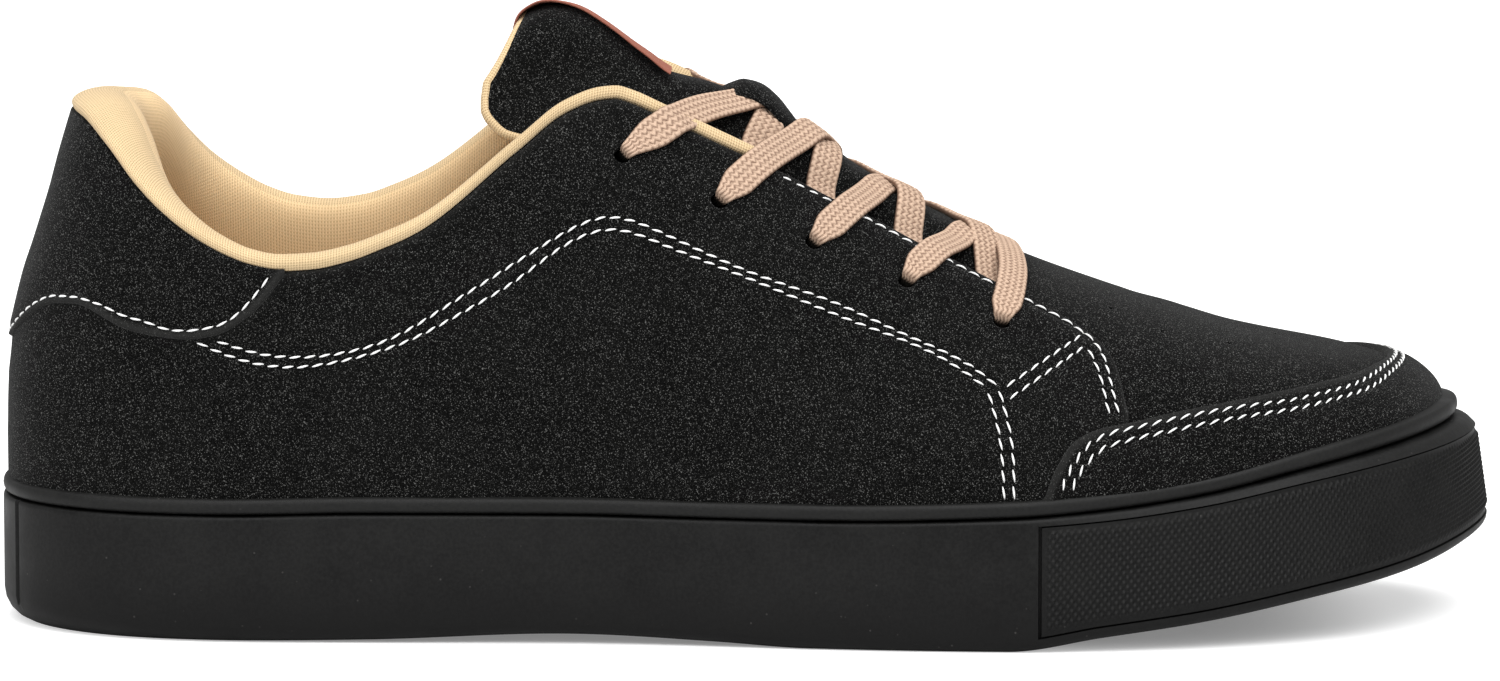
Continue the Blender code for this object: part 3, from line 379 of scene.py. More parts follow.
def find(x, z, side):
    """Column numbers and places of side-view points, outer side -1 and inner side 1."""
    half = OUTER_HALF if side < 0 else INNER_HALF
    lines = LINES[half]
    place = np.stack([meet(lines, height) for height in z])
    across = np.stack([at(lines, row)[:, 0] for row in place])
    rank = np.arange(len(half))
    spot = np.array([np.interp(want, row[::-1], rank[::-1]) for want, row in zip(x, across)])
    up = np.array([np.interp(s, rank, row) for s, row in zip(spot, place)])
    column = spot if side < 0 else COUNT - spot
    return column, up


def surface(column, place, out=0.0):
    """Points and normals at fractional columns and places, moved out along the normal."""
    low = np.floor(column).astype(int)
    share = (column - low)[:, None]

    def between(values):
        first = at(values[low % COUNT], place)
        second = at(values[(low + 1) % COUNT], place)
        return first * (1 - share) + second * share

    normal = unit(between(NORMALS))
    return between(LINES) + normal * np.reshape(out, (-1, 1)), normal


def on_last(x, arc):
    """Points and normals arc millimetres from the crown line at x, outer side negative."""
    side = np.where(arc < 0, -1.0, 1.0)

    def spots(offset, shift):
        lines = wall_lines(beside(x + offset, side))
        step = np.linalg.norm(lines[:, 1] - lines[:, 0], axis=1)
        return at(lines, LINE_POINTS - 1 - (np.abs(arc) + shift) / step)

    points = spots(0.0, 0.0)
    along = spots(1.0, 0.0) - spots(-1.0, 0.0)
    down = spots(0.0, 1.0) - points
    normals = unit(np.cross(down, along) * side[:, None])
    normals *= np.where(normals[:, 2:] + side[:, None] * normals[:, 1:2] < 0, -1, 1)
    return points, normals


def arc_down(x, side, height):
    """Distance from the crown line down to a height on the section at x, outer side negative."""
    lines = wall_lines(beside(x, side))
    step = np.linalg.norm(lines[:, 1] - lines[:, 0], axis=1)
    return side * (LINE_POINTS - 1 - meet(lines, np.asarray(height)[:, None])) * step


print("top eyelet at", surface(*find([125.3], [95.3], -1))[0])

# %% [markdown]
# Every finish is built from nodes. Small helpers keep the materials short: one adds a node and fills or
# links its inputs, others do sums and mixes. Effects that several finishes share are node groups.

# %% Node helpers
def node(tree, kind, settings=None, **inputs):
    """A node whose inputs take a value or a link; underscores in names stand for spaces."""
    made = tree.nodes.new("ShaderNode" + kind)
    for key, value in (settings or {}).items():
        setattr(made, key, value)
    for key, value in inputs.items():
        join(tree, value, made.inputs[key.replace("_", " ")])
    return made


def join(tree, value, socket):
    """Links a socket to another, or sets its value."""
    if isinstance(value, bpy.types.NodeSocket):
        tree.links.new(value, socket)
    else:
        socket.default_value = value


def sums(tree, operation, a, b=0.0):
    """Result of a sum on two values."""
    made = tree.nodes.new("ShaderNodeMath")
    made.operation = operation
    join(tree, a, made.inputs[0])
    join(tree, b, made.inputs[1])
    return made.outputs[0]


def blend(tree, factor, a, b, kind="MIX"):
    """Colour between a and b."""
    made = tree.nodes.new("ShaderNodeMix")
    made.data_type = "RGBA"
    made.blend_type = kind
    join(tree, factor, made.inputs[0])
    for value, socket in ((a, made.inputs[6]), (b, made.inputs[7])):
        join(tree, value if isinstance(value, bpy.types.NodeSocket) else (*value, 1.0), socket)
    return made.outputs[2]


def step_up(tree, value, low, high, to_low=0.0, to_high=1.0):
    """Smooth step of a value from one range to another."""
    made = node(
        tree, "MapRange", {"interpolation_type": "SMOOTHSTEP"},
        From_Min=low, From_Max=high, To_Min=to_low, To_Max=to_high,
    )
    join(tree, value, made.inputs["Value"])
    return made.outputs["Result"]


def grey(tree, value):
    """Colour with the same value in red, green and blue."""
    return node(tree, "CombineColor", Red=value, Green=value, Blue=value).outputs["Color"]


def noise(tree, vector, scale, detail=2.0, rough=0.5):
    """Value of a noise over a vector, with its scale in grains per metre."""
    made = node(tree, "TexNoise", Vector=vector, Scale=scale, Detail=detail, Roughness=rough)
    return made.outputs["Fac"]


def stretched(tree, vector, turn, stretch):
    """A vector turned and squeezed along one axis, which draws noise out into hairs."""
    made = node(tree, "Mapping", Vector=vector, Rotation=turn, Scale=stretch)
    return made.outputs["Vector"]


def group(name, inputs, outputs):
    """An empty node group with value sockets and one vector input."""
    tree = bpy.data.node_groups.new(name, "ShaderNodeTree")
    tree.interface.new_socket("Vector", in_out="INPUT", socket_type="NodeSocketVector")
    for key in inputs:
        tree.interface.new_socket(key, in_out="INPUT", socket_type="NodeSocketFloat")
    for key in outputs:
        tree.interface.new_socket(key, in_out="OUTPUT", socket_type="NodeSocketFloat")
    return tree, tree.nodes.new("NodeGroupInput").outputs, tree.nodes.new("NodeGroupOutput").inputs


def use(tree, made, **inputs):
    """A group placed in a tree."""
    placed = tree.nodes.new("ShaderNodeGroup")
    placed.node_tree = made
    for key, value in inputs.items():
        join(tree, value, placed.inputs[key.replace("_", " ")])
    return placed.outputs


def material(name, roughness, specular):
    """A new material: its tree, shader and Object coordinates."""
    made = bpy.data.materials.new(name)
    made.use_nodes = True
    tree = made.node_tree
    shader = tree.nodes["Principled BSDF"]
    shader.inputs["Roughness"].default_value = roughness
    shader.inputs["Specular IOR Level"].default_value = specular
    return made, tree, shader, tree.nodes.new("ShaderNodeTexCoord").outputs["Object"]


def bump(tree, shader, height, distance, strength=1.0):
    """A bump in metres on a shader."""
    made = node(tree, "Bump", Height=height, Distance=distance, Strength=strength)
    tree.links.new(made.outputs["Normal"], shader.inputs["Normal"])


print("helpers ready")

# %% [markdown]
# Suede is leather with a nap. From near by it is dark ground with many short pale hair tips, and from
# further off soft patches where it was brushed one way or the other. Noise squeezed along two directions
# gives the hairs, and plain noise gives the ground and the patches. The dull black discs behind the eyelets
# are painted shade, which keeps the holes dark.

# %% Suede
def make_nap():
    """Group of the nap: hair mask, patches and height."""
    tree, given, wanted = group("nap", ("Grain",), ("Hairs", "Patches", "Height"))
    scaled = node(tree, "VectorMath", {"operation": "SCALE"}, Vector=given["Vector"], Scale=given["Grain"])
    vector = scaled.outputs["Vector"]
    fine = noise(tree, vector, 2500.0, 3.0, 0.7)
    one_way = noise(tree, stretched(tree, vector, (0.3, 0.9, 0.4), (1.0, 0.6, 1.0)), 3700.0, 1.0)
    other_way = noise(tree, stretched(tree, vector, (1.2, -0.5, 2.2), (1.0, 0.6, 1.0)), 3700.0, 1.0)
    hairs = step_up(tree, sums(tree, "MAXIMUM", one_way, other_way), 0.63, 0.74)
    join(tree, hairs, wanted["Hairs"])
    join(tree, step_up(tree, noise(tree, given["Vector"], 55.0, 3.0, 0.6), 0.3, 0.7), wanted["Patches"])
    join(tree, sums(tree, "ADD", sums(tree, "MULTIPLY", hairs, 0.5), fine), wanted["Height"])
    return tree


def make_suede():
    """Black suede, paler along its raw edges, which the 'raw' attribute marks."""
    made, tree, shader, place = material("suede", 0.95, 0.05)
    shader.inputs["Sheen Weight"].default_value = 0.09
    shader.inputs["Sheen Roughness"].default_value = 0.35
    nap = use(tree, make_nap(), Vector=place, Grain=1.0)
    ground = blend(tree, nap["Patches"], (0.0010, 0.0010, 0.0010), (0.0024, 0.0024, 0.0023))
    fine = step_up(tree, nap["Height"], 0.38, 0.95)
    ground = blend(tree, fine, ground, (0.0135, 0.0135, 0.0129))
    hairy = blend(tree, nap["Hairs"], ground, (0.125, 0.125, 0.120))
    raw = node(tree, "Attribute", {"attribute_name": "raw"}).outputs["Fac"]
    edge = blend(tree, sums(tree, "MULTIPLY", raw, 0.75), hairy, (0.029, 0.029, 0.028))
    tree.links.new(edge, shader.inputs["Base Color"])
    bump(tree, shader, nap["Height"], 0.00022, 0.8)
    return made


def make_eyelet_hole_shade():
    """Dull black finish of the discs behind the eyelets, painted shade that keeps the holes dark."""
    made, _, shader, _ = material("eyelet_hole_shade", 1.0, 0.0)
    shader.inputs["Base Color"].default_value = (0.0008, 0.0008, 0.0008, 1.0)
    return made


SUEDE = make_suede()
HOLE_SHADE_FINISH = make_eyelet_hole_shade()
print("made", SUEDE.name, HOLE_SHADE_FINISH.name)

# %% [markdown]
# The rubber of the sole is moulded: nearly smooth and satin. A slow mottling, a fine grain and a few dust
# specks keep a large plain wall from looking like plastic, and painted shade darkens it at its foot, near the
# ground. The rand takes a lighter copy of the same rubber: painted light, where the rand catches the light.

# %% Rubber
def make_dust():
    """Group of dust: a mask of specks and a slow mottling."""
    tree, given, wanted = group("dust", ("Amount",), ("Specks", "Mottle"))
    cell = node(tree, "TexVoronoi", {"feature": "F1"}, Vector=given["Vector"], Scale=420.0)
    near = step_up(tree, cell.outputs["Distance"], 0.04, 0.12, 1.0, 0.0)
    some = step_up(tree, noise(tree, given["Vector"], 410.0, 1.0), 0.54, 0.66)
    specks = sums(tree, "MULTIPLY", sums(tree, "MULTIPLY", near, some), given["Amount"])
    join(tree, specks, wanted["Specks"])
    join(tree, step_up(tree, noise(tree, given["Vector"], 70.0, 4.0, 0.6), 0.3, 0.7), wanted["Mottle"])
    return tree


DUST = make_dust()
FOOT_PAINTED_SHADE = (0.0006, 0.0006, 0.0006)


def make_rubber(name, dark, light):
    """Satin black rubber between two greys: slow mottling, fine grain, dust specks, painted shade at the foot.
    """
    made, tree, shader, place = material(name, 0.5, 0.2)
    dust = use(tree, DUST, Vector=place, Amount=0.35)
    grain = noise(tree, place, 1500.0, 2.0)
    fine = sums(tree, "MULTIPLY", step_up(tree, grain, 0.3, 0.7), 0.5)
    tone = sums(tree, "ADD", sums(tree, "MULTIPLY", dust["Mottle"], 0.5), fine)
    ground = blend(tree, tone, (dark, dark, dark * 0.97), (light, light, light * 0.96))
    height = node(tree, "SeparateXYZ", Vector=place).outputs["Z"]
    # Painted shade: the rubber darkens towards the ground.
    foot = step_up(tree, height, 0.001, 0.016, 0.8, 0.0)
    ground = blend(tree, foot, ground, FOOT_PAINTED_SHADE)
    tree.links.new(blend(tree, dust["Specks"], ground, (0.11, 0.105, 0.10)), shader.inputs["Base Color"])
    tree.links.new(step_up(tree, dust["Mottle"], 0.0, 1.0, 0.46, 0.58), shader.inputs["Roughness"])
    bump(tree, shader, grain, 0.00005, 0.5)
    return made


RUBBER = make_rubber("rubber", 0.0006, 0.0084)
# The rand's rubber is a lighter copy of the sole's: painted light where the rand catches the light.
RAND_RUBBER_PAINTED_LIGHT = make_rubber("rubber_rand_painted_light", 0.0050, 0.0116)
print("made", RUBBER.name, RAND_RUBBER_PAINTED_LIGHT.name)

# %% [markdown]
# The collar, its binding and the lining are one fine knit, with painted shade between its loops. Its ribs
# run across the collar's roll, so they follow the piece's own UV map, laid out in metres along and across the
# edge. Braid, thread and leather have their shape in the mesh, so a fine fuzz is enough, with marks on the mesh
# where they are darker: painted shade in the braid's grooves and where the lace goes into its holes, and the
# tab's darker cut edge.

# %% Knit, braid, thread and leather
def make_knit():
    """Group of a fine knit on a UV map in metres: ribs along one way, stitches along the other."""
    tree, given, wanted = group("knit", ("Pitch", "Course"), ("Height", "Shade"))
    parts = node(tree, "SeparateXYZ", Vector=given["Vector"]).outputs
    turn = 2 * np.pi
    rib = sums(tree, "SINE", sums(tree, "MULTIPLY", sums(tree, "DIVIDE", parts["X"], given["Pitch"]), turn))
    odd = sums(tree, "MULTIPLY", rib, 1.1)
    across = sums(tree, "MULTIPLY", sums(tree, "DIVIDE", parts["Y"], given["Course"]), turn)
    loop = sums(tree, "SINE", sums(tree, "ADD", across, odd))
    height = sums(tree, "ADD", sums(tree, "MULTIPLY", rib, 0.34), sums(tree, "MULTIPLY", loop, 0.22))
    height = sums(tree, "ADD", height, 0.5)
    join(tree, height, wanted["Height"])
    # Shade: painted shade in the hollows between the loops, where the knit is low.
    join(tree, step_up(tree, height, 0.05, 0.6), wanted["Shade"])
    return tree


KNIT_GROUP = make_knit()


def make_cloth(name, colour, shade, pitch, course, depth):
    """A knit cloth of one colour, with painted shade between its loops."""
    made, tree, shader, place = material(name, 0.88, 0.15)
    shader.inputs["Sheen Weight"].default_value = 0.12
    uv = node(tree, "UVMap", {"uv_map": "cloth"}).outputs["UV"]
    knit = use(tree, KNIT_GROUP, Vector=uv, Pitch=pitch, Course=course)
    # Painted shade between the loops.
    tint = blend(tree, knit["Shade"], shade, colour)
    patch = step_up(tree, noise(tree, place, 45.0, 2.0), 0.3, 0.7, 0.93, 1.04)
    tree.links.new(blend(tree, 1.0, tint, grey(tree, patch), "MULTIPLY"), shader.inputs["Base Color"])
    bump(tree, shader, knit["Height"], depth, 0.8)
    return made


def make_fibre(name, colour, shade, grain, depth, ends=False):
    """Twisted fibres, whose shape is modelled. The 'raw' attribute darkens them: painted shade in the braid's
    grooves, and the tab's darker cut edge. With ends, the 'sunk' attribute paints the lace dark in the holes."""
    made, tree, shader, place = material(name, 0.85, 0.15)
    fuzz = noise(tree, place, grain, 3.0, 0.7)
    # 'raw' carries painted shade in the braid's grooves, and the tab's darker cut edge.
    groove = node(tree, "Attribute", {"attribute_name": "raw"}).outputs["Fac"]
    light = sums(tree, "SUBTRACT", step_up(tree, fuzz, 0.25, 0.65, 0.72, 1.0), groove)
    tint = blend(tree, step_up(tree, light, 0.0, 1.0), shade, colour)
    if ends:
        # Painted shade: the lace turns dark where it goes down into an eyelet hole.
        sunk = node(tree, "Attribute", {"attribute_name": "sunk"}).outputs["Fac"]
        tint = blend(tree, sunk, tint, (0.004, 0.003, 0.002))
    tree.links.new(tint, shader.inputs["Base Color"])
    bump(tree, shader, fuzz, depth, 0.7)
    return made


KNIT = make_cloth("knit_binding", (0.74, 0.555, 0.325), (0.46, 0.325, 0.175), 0.00056, 0.00056, 0.00012)
LINING = make_cloth("knit_lining", (0.86, 0.635, 0.37), (0.60, 0.42, 0.225), 0.00064, 0.00072, 0.00012)
BRAID = make_fibre("braid", (0.615, 0.44, 0.325), (0.20, 0.122, 0.084), 2600.0, 0.00008, True)
THREAD = make_fibre("thread", (0.88, 0.88, 0.87), (0.60, 0.60, 0.59), 3200.0, 0.00006)
LEATHER = make_fibre("label_leather", (0.34, 0.125, 0.085), (0.15, 0.048, 0.034), 1400.0, 0.00010)
print("made", [m.name for m in (KNIT, LINING, BRAID, THREAD, LEATHER)])

# %% [markdown]
# Most pieces are sweeps: a closed profile, one for each column, joined round the shoe. One helper turns the
# points into a closed mesh with its finish, its UV map and its marks, and lets it ride on the shoe.

# %% Meshes from grids
def quads(columns, rows, around, closed):
    """Corner numbers of the faces between neighbouring columns and rows of a grid."""
    index = np.arange(columns * rows).reshape(columns, rows)
    if around:
        index = np.concatenate([index, index[:1]])
    if closed:
        index = np.concatenate([index, index[:, :1]], axis=1)
    return np.stack([index[:-1, :-1], index[1:, :-1], index[1:, 1:], index[:-1, 1:]], axis=-1).reshape(-1, 4)


def add_piece(name, points, faces, finishes, slot, replaces=(), uv=None, second=None, **marks):
    """A closed mesh from last millimetres. second says which faces take the second finish, and marks are
    values at the points for the finish to read."""
    points = (np.reshape(points, (-1, 3)) - CENTRE) * MM
    mesh = bpy.data.meshes.new(name)
    mesh.from_pydata(points.tolist(), [], [list(face) for face in faces])
    corner = np.empty(len(mesh.loops), int)
    mesh.loops.foreach_get("vertex_index", corner)
    if uv is not None:
        layer = mesh.uv_layers.new(name="cloth")
        layer.data.foreach_set("uv", (np.reshape(uv, (-1, 2)) * MM)[corner].ravel())
    for key, values in marks.items():
        mark = mesh.attributes.new(key, "FLOAT", "POINT")
        mark.data.foreach_set("value", np.ravel(values).astype(np.float32))
    for finish in finishes:
        mesh.materials.append(finish)
    if second is not None:
        mesh.polygons.foreach_set("material_index", np.asarray(second, np.int32))
    work = bmesh.new()
    work.from_mesh(mesh)
    bmesh.ops.remove_doubles(work, verts=work.verts, dist=2e-6)
    bmesh.ops.dissolve_degenerate(work, dist=1e-7, edges=work.edges)
    bmesh.ops.recalc_face_normals(work, faces=work.faces)
    if work.calc_volume(signed=True) < 0:
        bmesh.ops.reverse_faces(work, faces=work.faces)
    work.to_mesh(mesh)
    work.free()
    mesh.shade_smooth()
    piece = bpy.data.objects.new(name, mesh)
    bpy.context.scene.collection.objects.link(piece)
    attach(piece, "root")
    if replaces:
        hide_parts(*replaces)
    print(name, len(mesh.polygons), "faces")
    return piece


def add_sweep(name, points, finishes, slot, around=False, closed=True, **more):
    """A piece from a grid of points, a closed profile for each column, with caps where it ends."""
    columns, rows = points.shape[:2]
    faces = quads(columns, rows, around, closed).tolist()
    if not around:
        faces.append(list(range(rows)))
        faces.append(list(range((columns - 1) * rows, columns * rows))[::-1])
    return add_piece(name, points, faces, finishes, slot, **more)


def cloth_uv(points):
    """UV in millimetres for a grid: run along the columns' middle, and run along each profile."""
    middle = points[:, points.shape[1] // 4]
    along = run_length(middle)[:, None] + np.zeros(points.shape[1])[None]
    steps = np.linalg.norm(np.diff(points, axis=1), axis=2)
    across = np.concatenate([np.zeros((len(points), 1)), np.cumsum(steps, axis=1)], axis=1)
    return np.stack([along, across], axis=2)


print("mesh helpers ready")

# %% [markdown]
# The cup sole is one moulding: a rounded edge below, a plain wall, a recess round the toe for the bumper, two
# shallow grooves at the heel and a flat top that the lip stands on. Its underside has a zigzag tread, cut in
# from the ground so that the sole still stands at the same height.

# %% Cup sole
GROOVE_ANGLE = 25.6
GROOVE_WIDTH = 1.6
GROOVE_DEPTH = 0.8
BUMPER_START = 206.8
BUMPER_DEPTH = 1.6
BUMPER_FROM_FLOOR = 2.3
BUMPER_FROM_LIP = 1.4
BUMPER_LEAN = 0.4
SHOULDER = 0.12
CUP_SHOULDER = table(
    "share inward below",
    (0.62, 0.0, 0.8), (0.72, 0.1, 0.35), (0.86, 0.35, 0.08), (1.0, 0.8, 0.0),
)
SOLE_CREASE = np.radians(38)
TREAD_ROWS = 56
TREAD_DEPTH = 1.1
TREAD_PITCH = 7.0
TREAD_ZIGZAG = 9.0
TREAD_SWING = 0.62
TREAD_CUT = (0.62, 0.80)
TREAD_BORDER = (5.0, 6.5)


def triangle_wave(x):
    """Triangle wave of period one between zero and one."""
    return np.abs(2 * (x - np.floor(x)) - 1)


def tread(x, y, inset):
    """Depth of the tread's grooves: a wave along x whose phase zigzags with y, gone at the border."""
    phase = x / TREAD_PITCH + TREAD_SWING * triangle_wave(y / (2 * TREAD_ZIGZAG))
    return TREAD_DEPTH * ease(*TREAD_CUT, triangle_wave(phase)) * ease(*TREAD_BORDER, inset)


def bumper_band(columns):
    """Lower and upper height of the recess for the bumper, and the wall's reach at both."""
    x = outline_x(columns)
    low = read(SOLE, "bottom", x) + BUMPER_FROM_FLOOR
    high = read(SOLE, "lip", x) - BUMPER_FROM_LIP - SHOULDER * read(SOLE, "set_back", x)
    full = reach(columns, 0.0, 0.0)
    leaning = full + (reach(columns, 0.0) - full) * BUMPER_LEAN
    return low, high, full, leaning


def add_cup_sole():
    """Profile from the middle of the underside out, round the edge, up the wall and over into the cup."""
    close = np.array([BUMPER_START - 0.2, BUMPER_START, BUMPER_START + 0.35])
    side_x = np.sort(np.concatenate([SIDE_X, close]))
    groove = np.degrees(np.linspace(-1.2, 1.2, 9) * GROOVE_WIDTH / 2 / HEEL_PIVOT)
    heel = np.sort(np.concatenate([HEEL_FAN, GROOVE_ANGLE + groove, -GROOVE_ANGLE + groove]))[::-1]
    columns = joined(
        fan(TOE_PIVOT, -TOE_FAN), beside(side_x[::-1], -1), fan(HEEL_PIVOT, 180 + heel),
        beside(side_x, 1), fan(TOE_PIVOT, TOE_FAN[:0:-1]),
    )
    x = outline_x(columns)
    angle = np.degrees(np.arctan2(np.abs(columns[1][:, 1]), -columns[1][:, 0]))
    off = np.abs(angle - GROOVE_ANGLE) * np.radians(HEEL_PIVOT)
    cut = GROOVE_DEPTH * (1 - ease(0.25 * GROOVE_WIDTH, 0.55 * GROOVE_WIDTH, off))
    recess = np.where(x > BUMPER_START + 0.1, BUMPER_DEPTH, 0.0)
    low, high, full, leaning = bumper_band(columns)
    bottom = read(SOLE, "bottom", x)
    corner = read(SOLE, "corner", x)
    low = np.maximum(low, bottom + corner)
    lip = read(SOLE, "lip", x)
    top = reach(columns, 0.0)
    inside = reach(columns, CUP_WALL)
    share = np.linspace(0, 1, TREAD_ROWS)[None]
    under = share * (full - corner)[:, None]
    under_xy = columns[0][:, None] + columns[1][:, None] * under[..., None]
    inset = (full - corner)[:, None] - under
    under_z = read(SOLE, "bottom", under_xy[..., 0])
    under_z = under_z + tread(under_xy[..., 0], under_xy[..., 1], inset)
    turn = np.radians([18, 36, 54, 72, 90])[None]
    edge = (full - corner)[:, None] + corner[:, None] * np.sin(turn)
    edge_z = bottom[:, None] + corner[:, None] * (1 - np.cos(turn))
    edge[:, -1] -= cut
    wall = np.stack([full, full - recess, leaning - recess, leaning], axis=1) - cut[:, None]
    wall_z = np.stack([low, low, high, high], axis=1)
    shoulder = full[:, None] + (top - full)[:, None] * CUP_SHOULDER["share"] - CUP_SHOULDER["inward"]
    shoulder = shoulder - cut[:, None]
    shoulder_z = lip[:, None] - CUP_SHOULDER["below"]
    cup = np.stack([inside, inside, 0 * inside], axis=1)
    floor = read(SOLE, "floor", columns[0][:, 0] + columns[1][:, 0] * inside)
    cup_z = np.stack([lip, floor, read(SOLE, "floor", columns[0][:, 0])], axis=1)
    reaches = np.concatenate([under, edge, wall, shoulder, cup], axis=1)
    heights = np.concatenate([under_z, edge_z, wall_z, shoulder_z, cup_z], axis=1)
    points = standing(columns, reaches, heights)
    piece = add_sweep("sole_cup", points, [RUBBER], "sole_rubber", True, False, replaces=["cup_sole"])
    piece.data.set_sharp_from_angle(angle=SOLE_CREASE)


add_cup_sole()

# %% [markdown]
# The bumper round the toe is covered with small studs in a diamond grid. They are real shape: the panel's face
# is a grid fine enough to carry them, made in even steps round the toe and up.

# %% Toe bumper
STUD_WIDE = 1.46
STUD_TALL = 1.9
STUD_HEIGHT = 0.7
STUD_POINTS = 6
STUD_SUNK = 0.3
STUD_SHARP = 1.3
BUMPER_RIM = (0.5, 1.6)
BUMPER_BACK = 1.3
BUMPER_CREASE = np.radians(70)


def bumper_columns():
    """Columns round the toe at even steps, a sixth of a stud wide, and the distance run to each."""
    straight = np.linspace(BUMPER_START + 0.7, TOE_PIVOT, 60)
    turn = np.linspace(-89, 89, 240)
    rough = joined(beside(straight, -1), fan(TOE_PIVOT, turn), beside(straight[::-1], 1))
    run = run_length(rough[0] + rough[1] * reach(rough, 0.0, 0.0)[:, None])
    key = np.concatenate([straight - TOE_PIVOT - 90, turn, 90 + TOE_PIVOT - straight[::-1]])
    along = np.arange(int(run[-1] / STUD_WIDE * STUD_POINTS)) * STUD_WIDE / STUD_POINTS
    spot = np.interp(along, run, key)
    front = fan(TOE_PIVOT, spot[(spot >= -90) & (spot <= 90)])
    outer = beside(spot[spot < -90] + 90 + TOE_PIVOT, -1)
    inner = beside(TOE_PIVOT + 90 - spot[spot > 90], 1)
    return joined(outer, front, inner), along


def add_toe_bumper():
    """Face whose height is the product of two cosines, along and up, which puts studs in a diamond grid."""
    columns, along = bumper_columns()
    low, high, full, leaning = bumper_band(columns)
    low = low[:, None] + FIT
    tall = high[:, None] - FIT - low
    rows = int(tall.max() / STUD_TALL * STUD_POINTS) + 2
    up = np.minimum(np.arange(rows) * STUD_TALL / STUD_POINTS, tall)
    wall = full[:, None] + (leaning - full)[:, None] * up / tall
    run = along[:, None]
    stud = np.cos(2 * np.pi * run / STUD_WIDE) * np.cos(2 * np.pi * up / STUD_TALL)
    rim = np.minimum(np.minimum(up, tall - up), np.minimum(run, along[-1] - run))
    wall = wall - STUD_SUNK + STUD_HEIGHT * (0.5 + 0.5 * stud) ** STUD_SHARP * ease(*BUMPER_RIM, rim)
    reaches = np.concatenate([wall[:, :1] - BUMPER_BACK, wall, wall[:, -1:] - BUMPER_BACK], axis=1)
    levels = np.concatenate([low, low + up, low + up[:, -1:]], axis=1)
    points = standing(columns, reaches, levels)
    piece = add_sweep("sole_toe_bumper", points, [RUBBER], "sole_rubber", replaces=["toe_bumper"])
    piece.data.set_sharp_from_angle(angle=BUMPER_CREASE)


add_toe_bumper()

# %% [markdown]
# The rand is the rounded lip of rubber that hides the joint between cup and upper. Its profile is a half round
# on the cup's wall, tucked in at the top where the suede begins.

# %% Rand
RAND_TALLER = 0.12
RAND_GROWS = (240.0, 272.0)
RAND_FOOT = 1.1
RAND_BULGE = 0.9
RAND_MIDDLE = 1.95
RAND_HALF = 1.45
RAND_CLOSE = (3.62, 3.7, 3.5)


def add_rand():
    """Profile: flat foot, a half round bulge, and a top that runs in to the upper."""
    lip = read(SOLE, "lip", END_X)
    top = reach(COLUMNS, 0.0)
    tuck = top - reach(COLUMNS, read(SOLE, "tuck", OUTER_LINE[:, 0]) - 0.2)
    turn = np.radians(np.linspace(-75, 80, 11))[None]
    bulge = (1 - np.cos(turn)) * RAND_BULGE
    insets = np.concatenate([
        np.full((COUNT, 1), CUP_WALL), np.full((COUNT, 1), RAND_FOOT), bulge + 0 * top[:, None],
        (tuck * 0.75)[:, None], tuck[:, None], np.full((COUNT, 1), CUP_WALL),
    ], axis=1)
    rises = np.concatenate([[FIT, FIT], RAND_MIDDLE + RAND_HALF * np.sin(turn[0]), RAND_CLOSE])
    taller = 1 + RAND_TALLER * ease(*RAND_GROWS, END_X)[:, None]
    points = standing(COLUMNS, top[:, None] - insets, lip[:, None] + rises[None] * taller)
    add_sweep("sole_rand", points, [RAND_RUBBER_PAINTED_LIGHT], "sole_rubber", True, True, replaces=["rand"])


add_rand()

# %% [markdown]
# The insole lies on the cup's floor. Only its knit cover shows, down in the shoe, with a soft round edge.

# %% Insole
INSOLE = table(
    "share rise",
    (0.0, 0.0), (0.5, 0.0), (0.94, 0.0), (0.985, 0.1), (1.0, 0.9), (1.0, 3.2), (0.985, 3.75), (0.95, 3.95),
    (0.85, 4.0), (0.65, 3.9), (0.4, 3.8), (0.2, 3.75), (0.0, 3.75),
)


def add_insole():
    """Profile: flat underside, a rounded rim and a top that dips slightly to the middle."""
    inside = reach(COLUMNS, CUP_WALL)
    edge = reach(COLUMNS, CUP_WALL + FIT + UPPER_WALL + 2 * FIT)
    share = INSOLE["share"]
    middle = read(SOLE, "floor", COLUMNS[0][:, :1])
    corner = read(SOLE, "floor", COLUMNS[0][:, :1] + COLUMNS[1][:, :1] * inside[:, None])
    base = middle + (corner - middle) * share * edge[:, None] / inside[:, None] + FIT
    points = standing(COLUMNS, edge[:, None] * share, base + INSOLE["rise"])
    uv = points[..., :2] - CENTRE[:2]
    add_sweep("insole_cover", points, [LINING], "knit", True, False, replaces=["insole"], uv=uv)


add_insole()

# %% [markdown]
# The upper's pieces end at a few edges: the top line, the shell's own edge under the collar, the rand, the
# toe guard's edge and the heel panel's edge. Each is kept as one place along every column's line, so that all
# pieces which meet there read the same numbers.

# %% Edges of the upper
BINDING = 1.6
HEEL_BINDING = 1.8
COLLAR_END = 150.0
COLLAR_FADE = 8.0
HEEL_ROLL = (22.0, 56.0)
THROAT_CLOSES = (200.0, 206.0)
THROAT_FACING = 7
RAND_OVERLAP = 0.4


def heel_share(x):
    """One round the back of the heel and zero from the ankle forward."""
    return 1 - ease(*HEEL_ROLL, x)


def top_height(lines, outer_side):
    """Height of the suede's top edge beside every point of the lines."""
    x = lines[..., 0]
    return np.where(outer_side[:, None], read(TOPLINE, "outer", x), read(TOPLINE, "inner", x))


TOP = meet(LINES, top_height(LINES, OUTER_SIDE))


def make_opening():
    """Places of the shell's own edge: under the collar's roll at the back, shut at the throat's front."""
    x = LINES[..., 0]
    edge = top_height(LINES, OUTER_SIDE)
    shut = ease(*THROAT_CLOSES, x) * (read(CROWN, "height", x) + 1 - edge)
    place = meet(LINES, edge + shut)
    edge_x = at(LINES, place)[:, 0]
    roll = BINDING + (HEEL_BINDING - BINDING) * heel_share(edge_x)
    roll = roll * (1 - ease(COLLAR_END, COLLAR_END + COLLAR_FADE, edge_x))
    return np.minimum(place + roll / STEP, LINE_POINTS - 1)


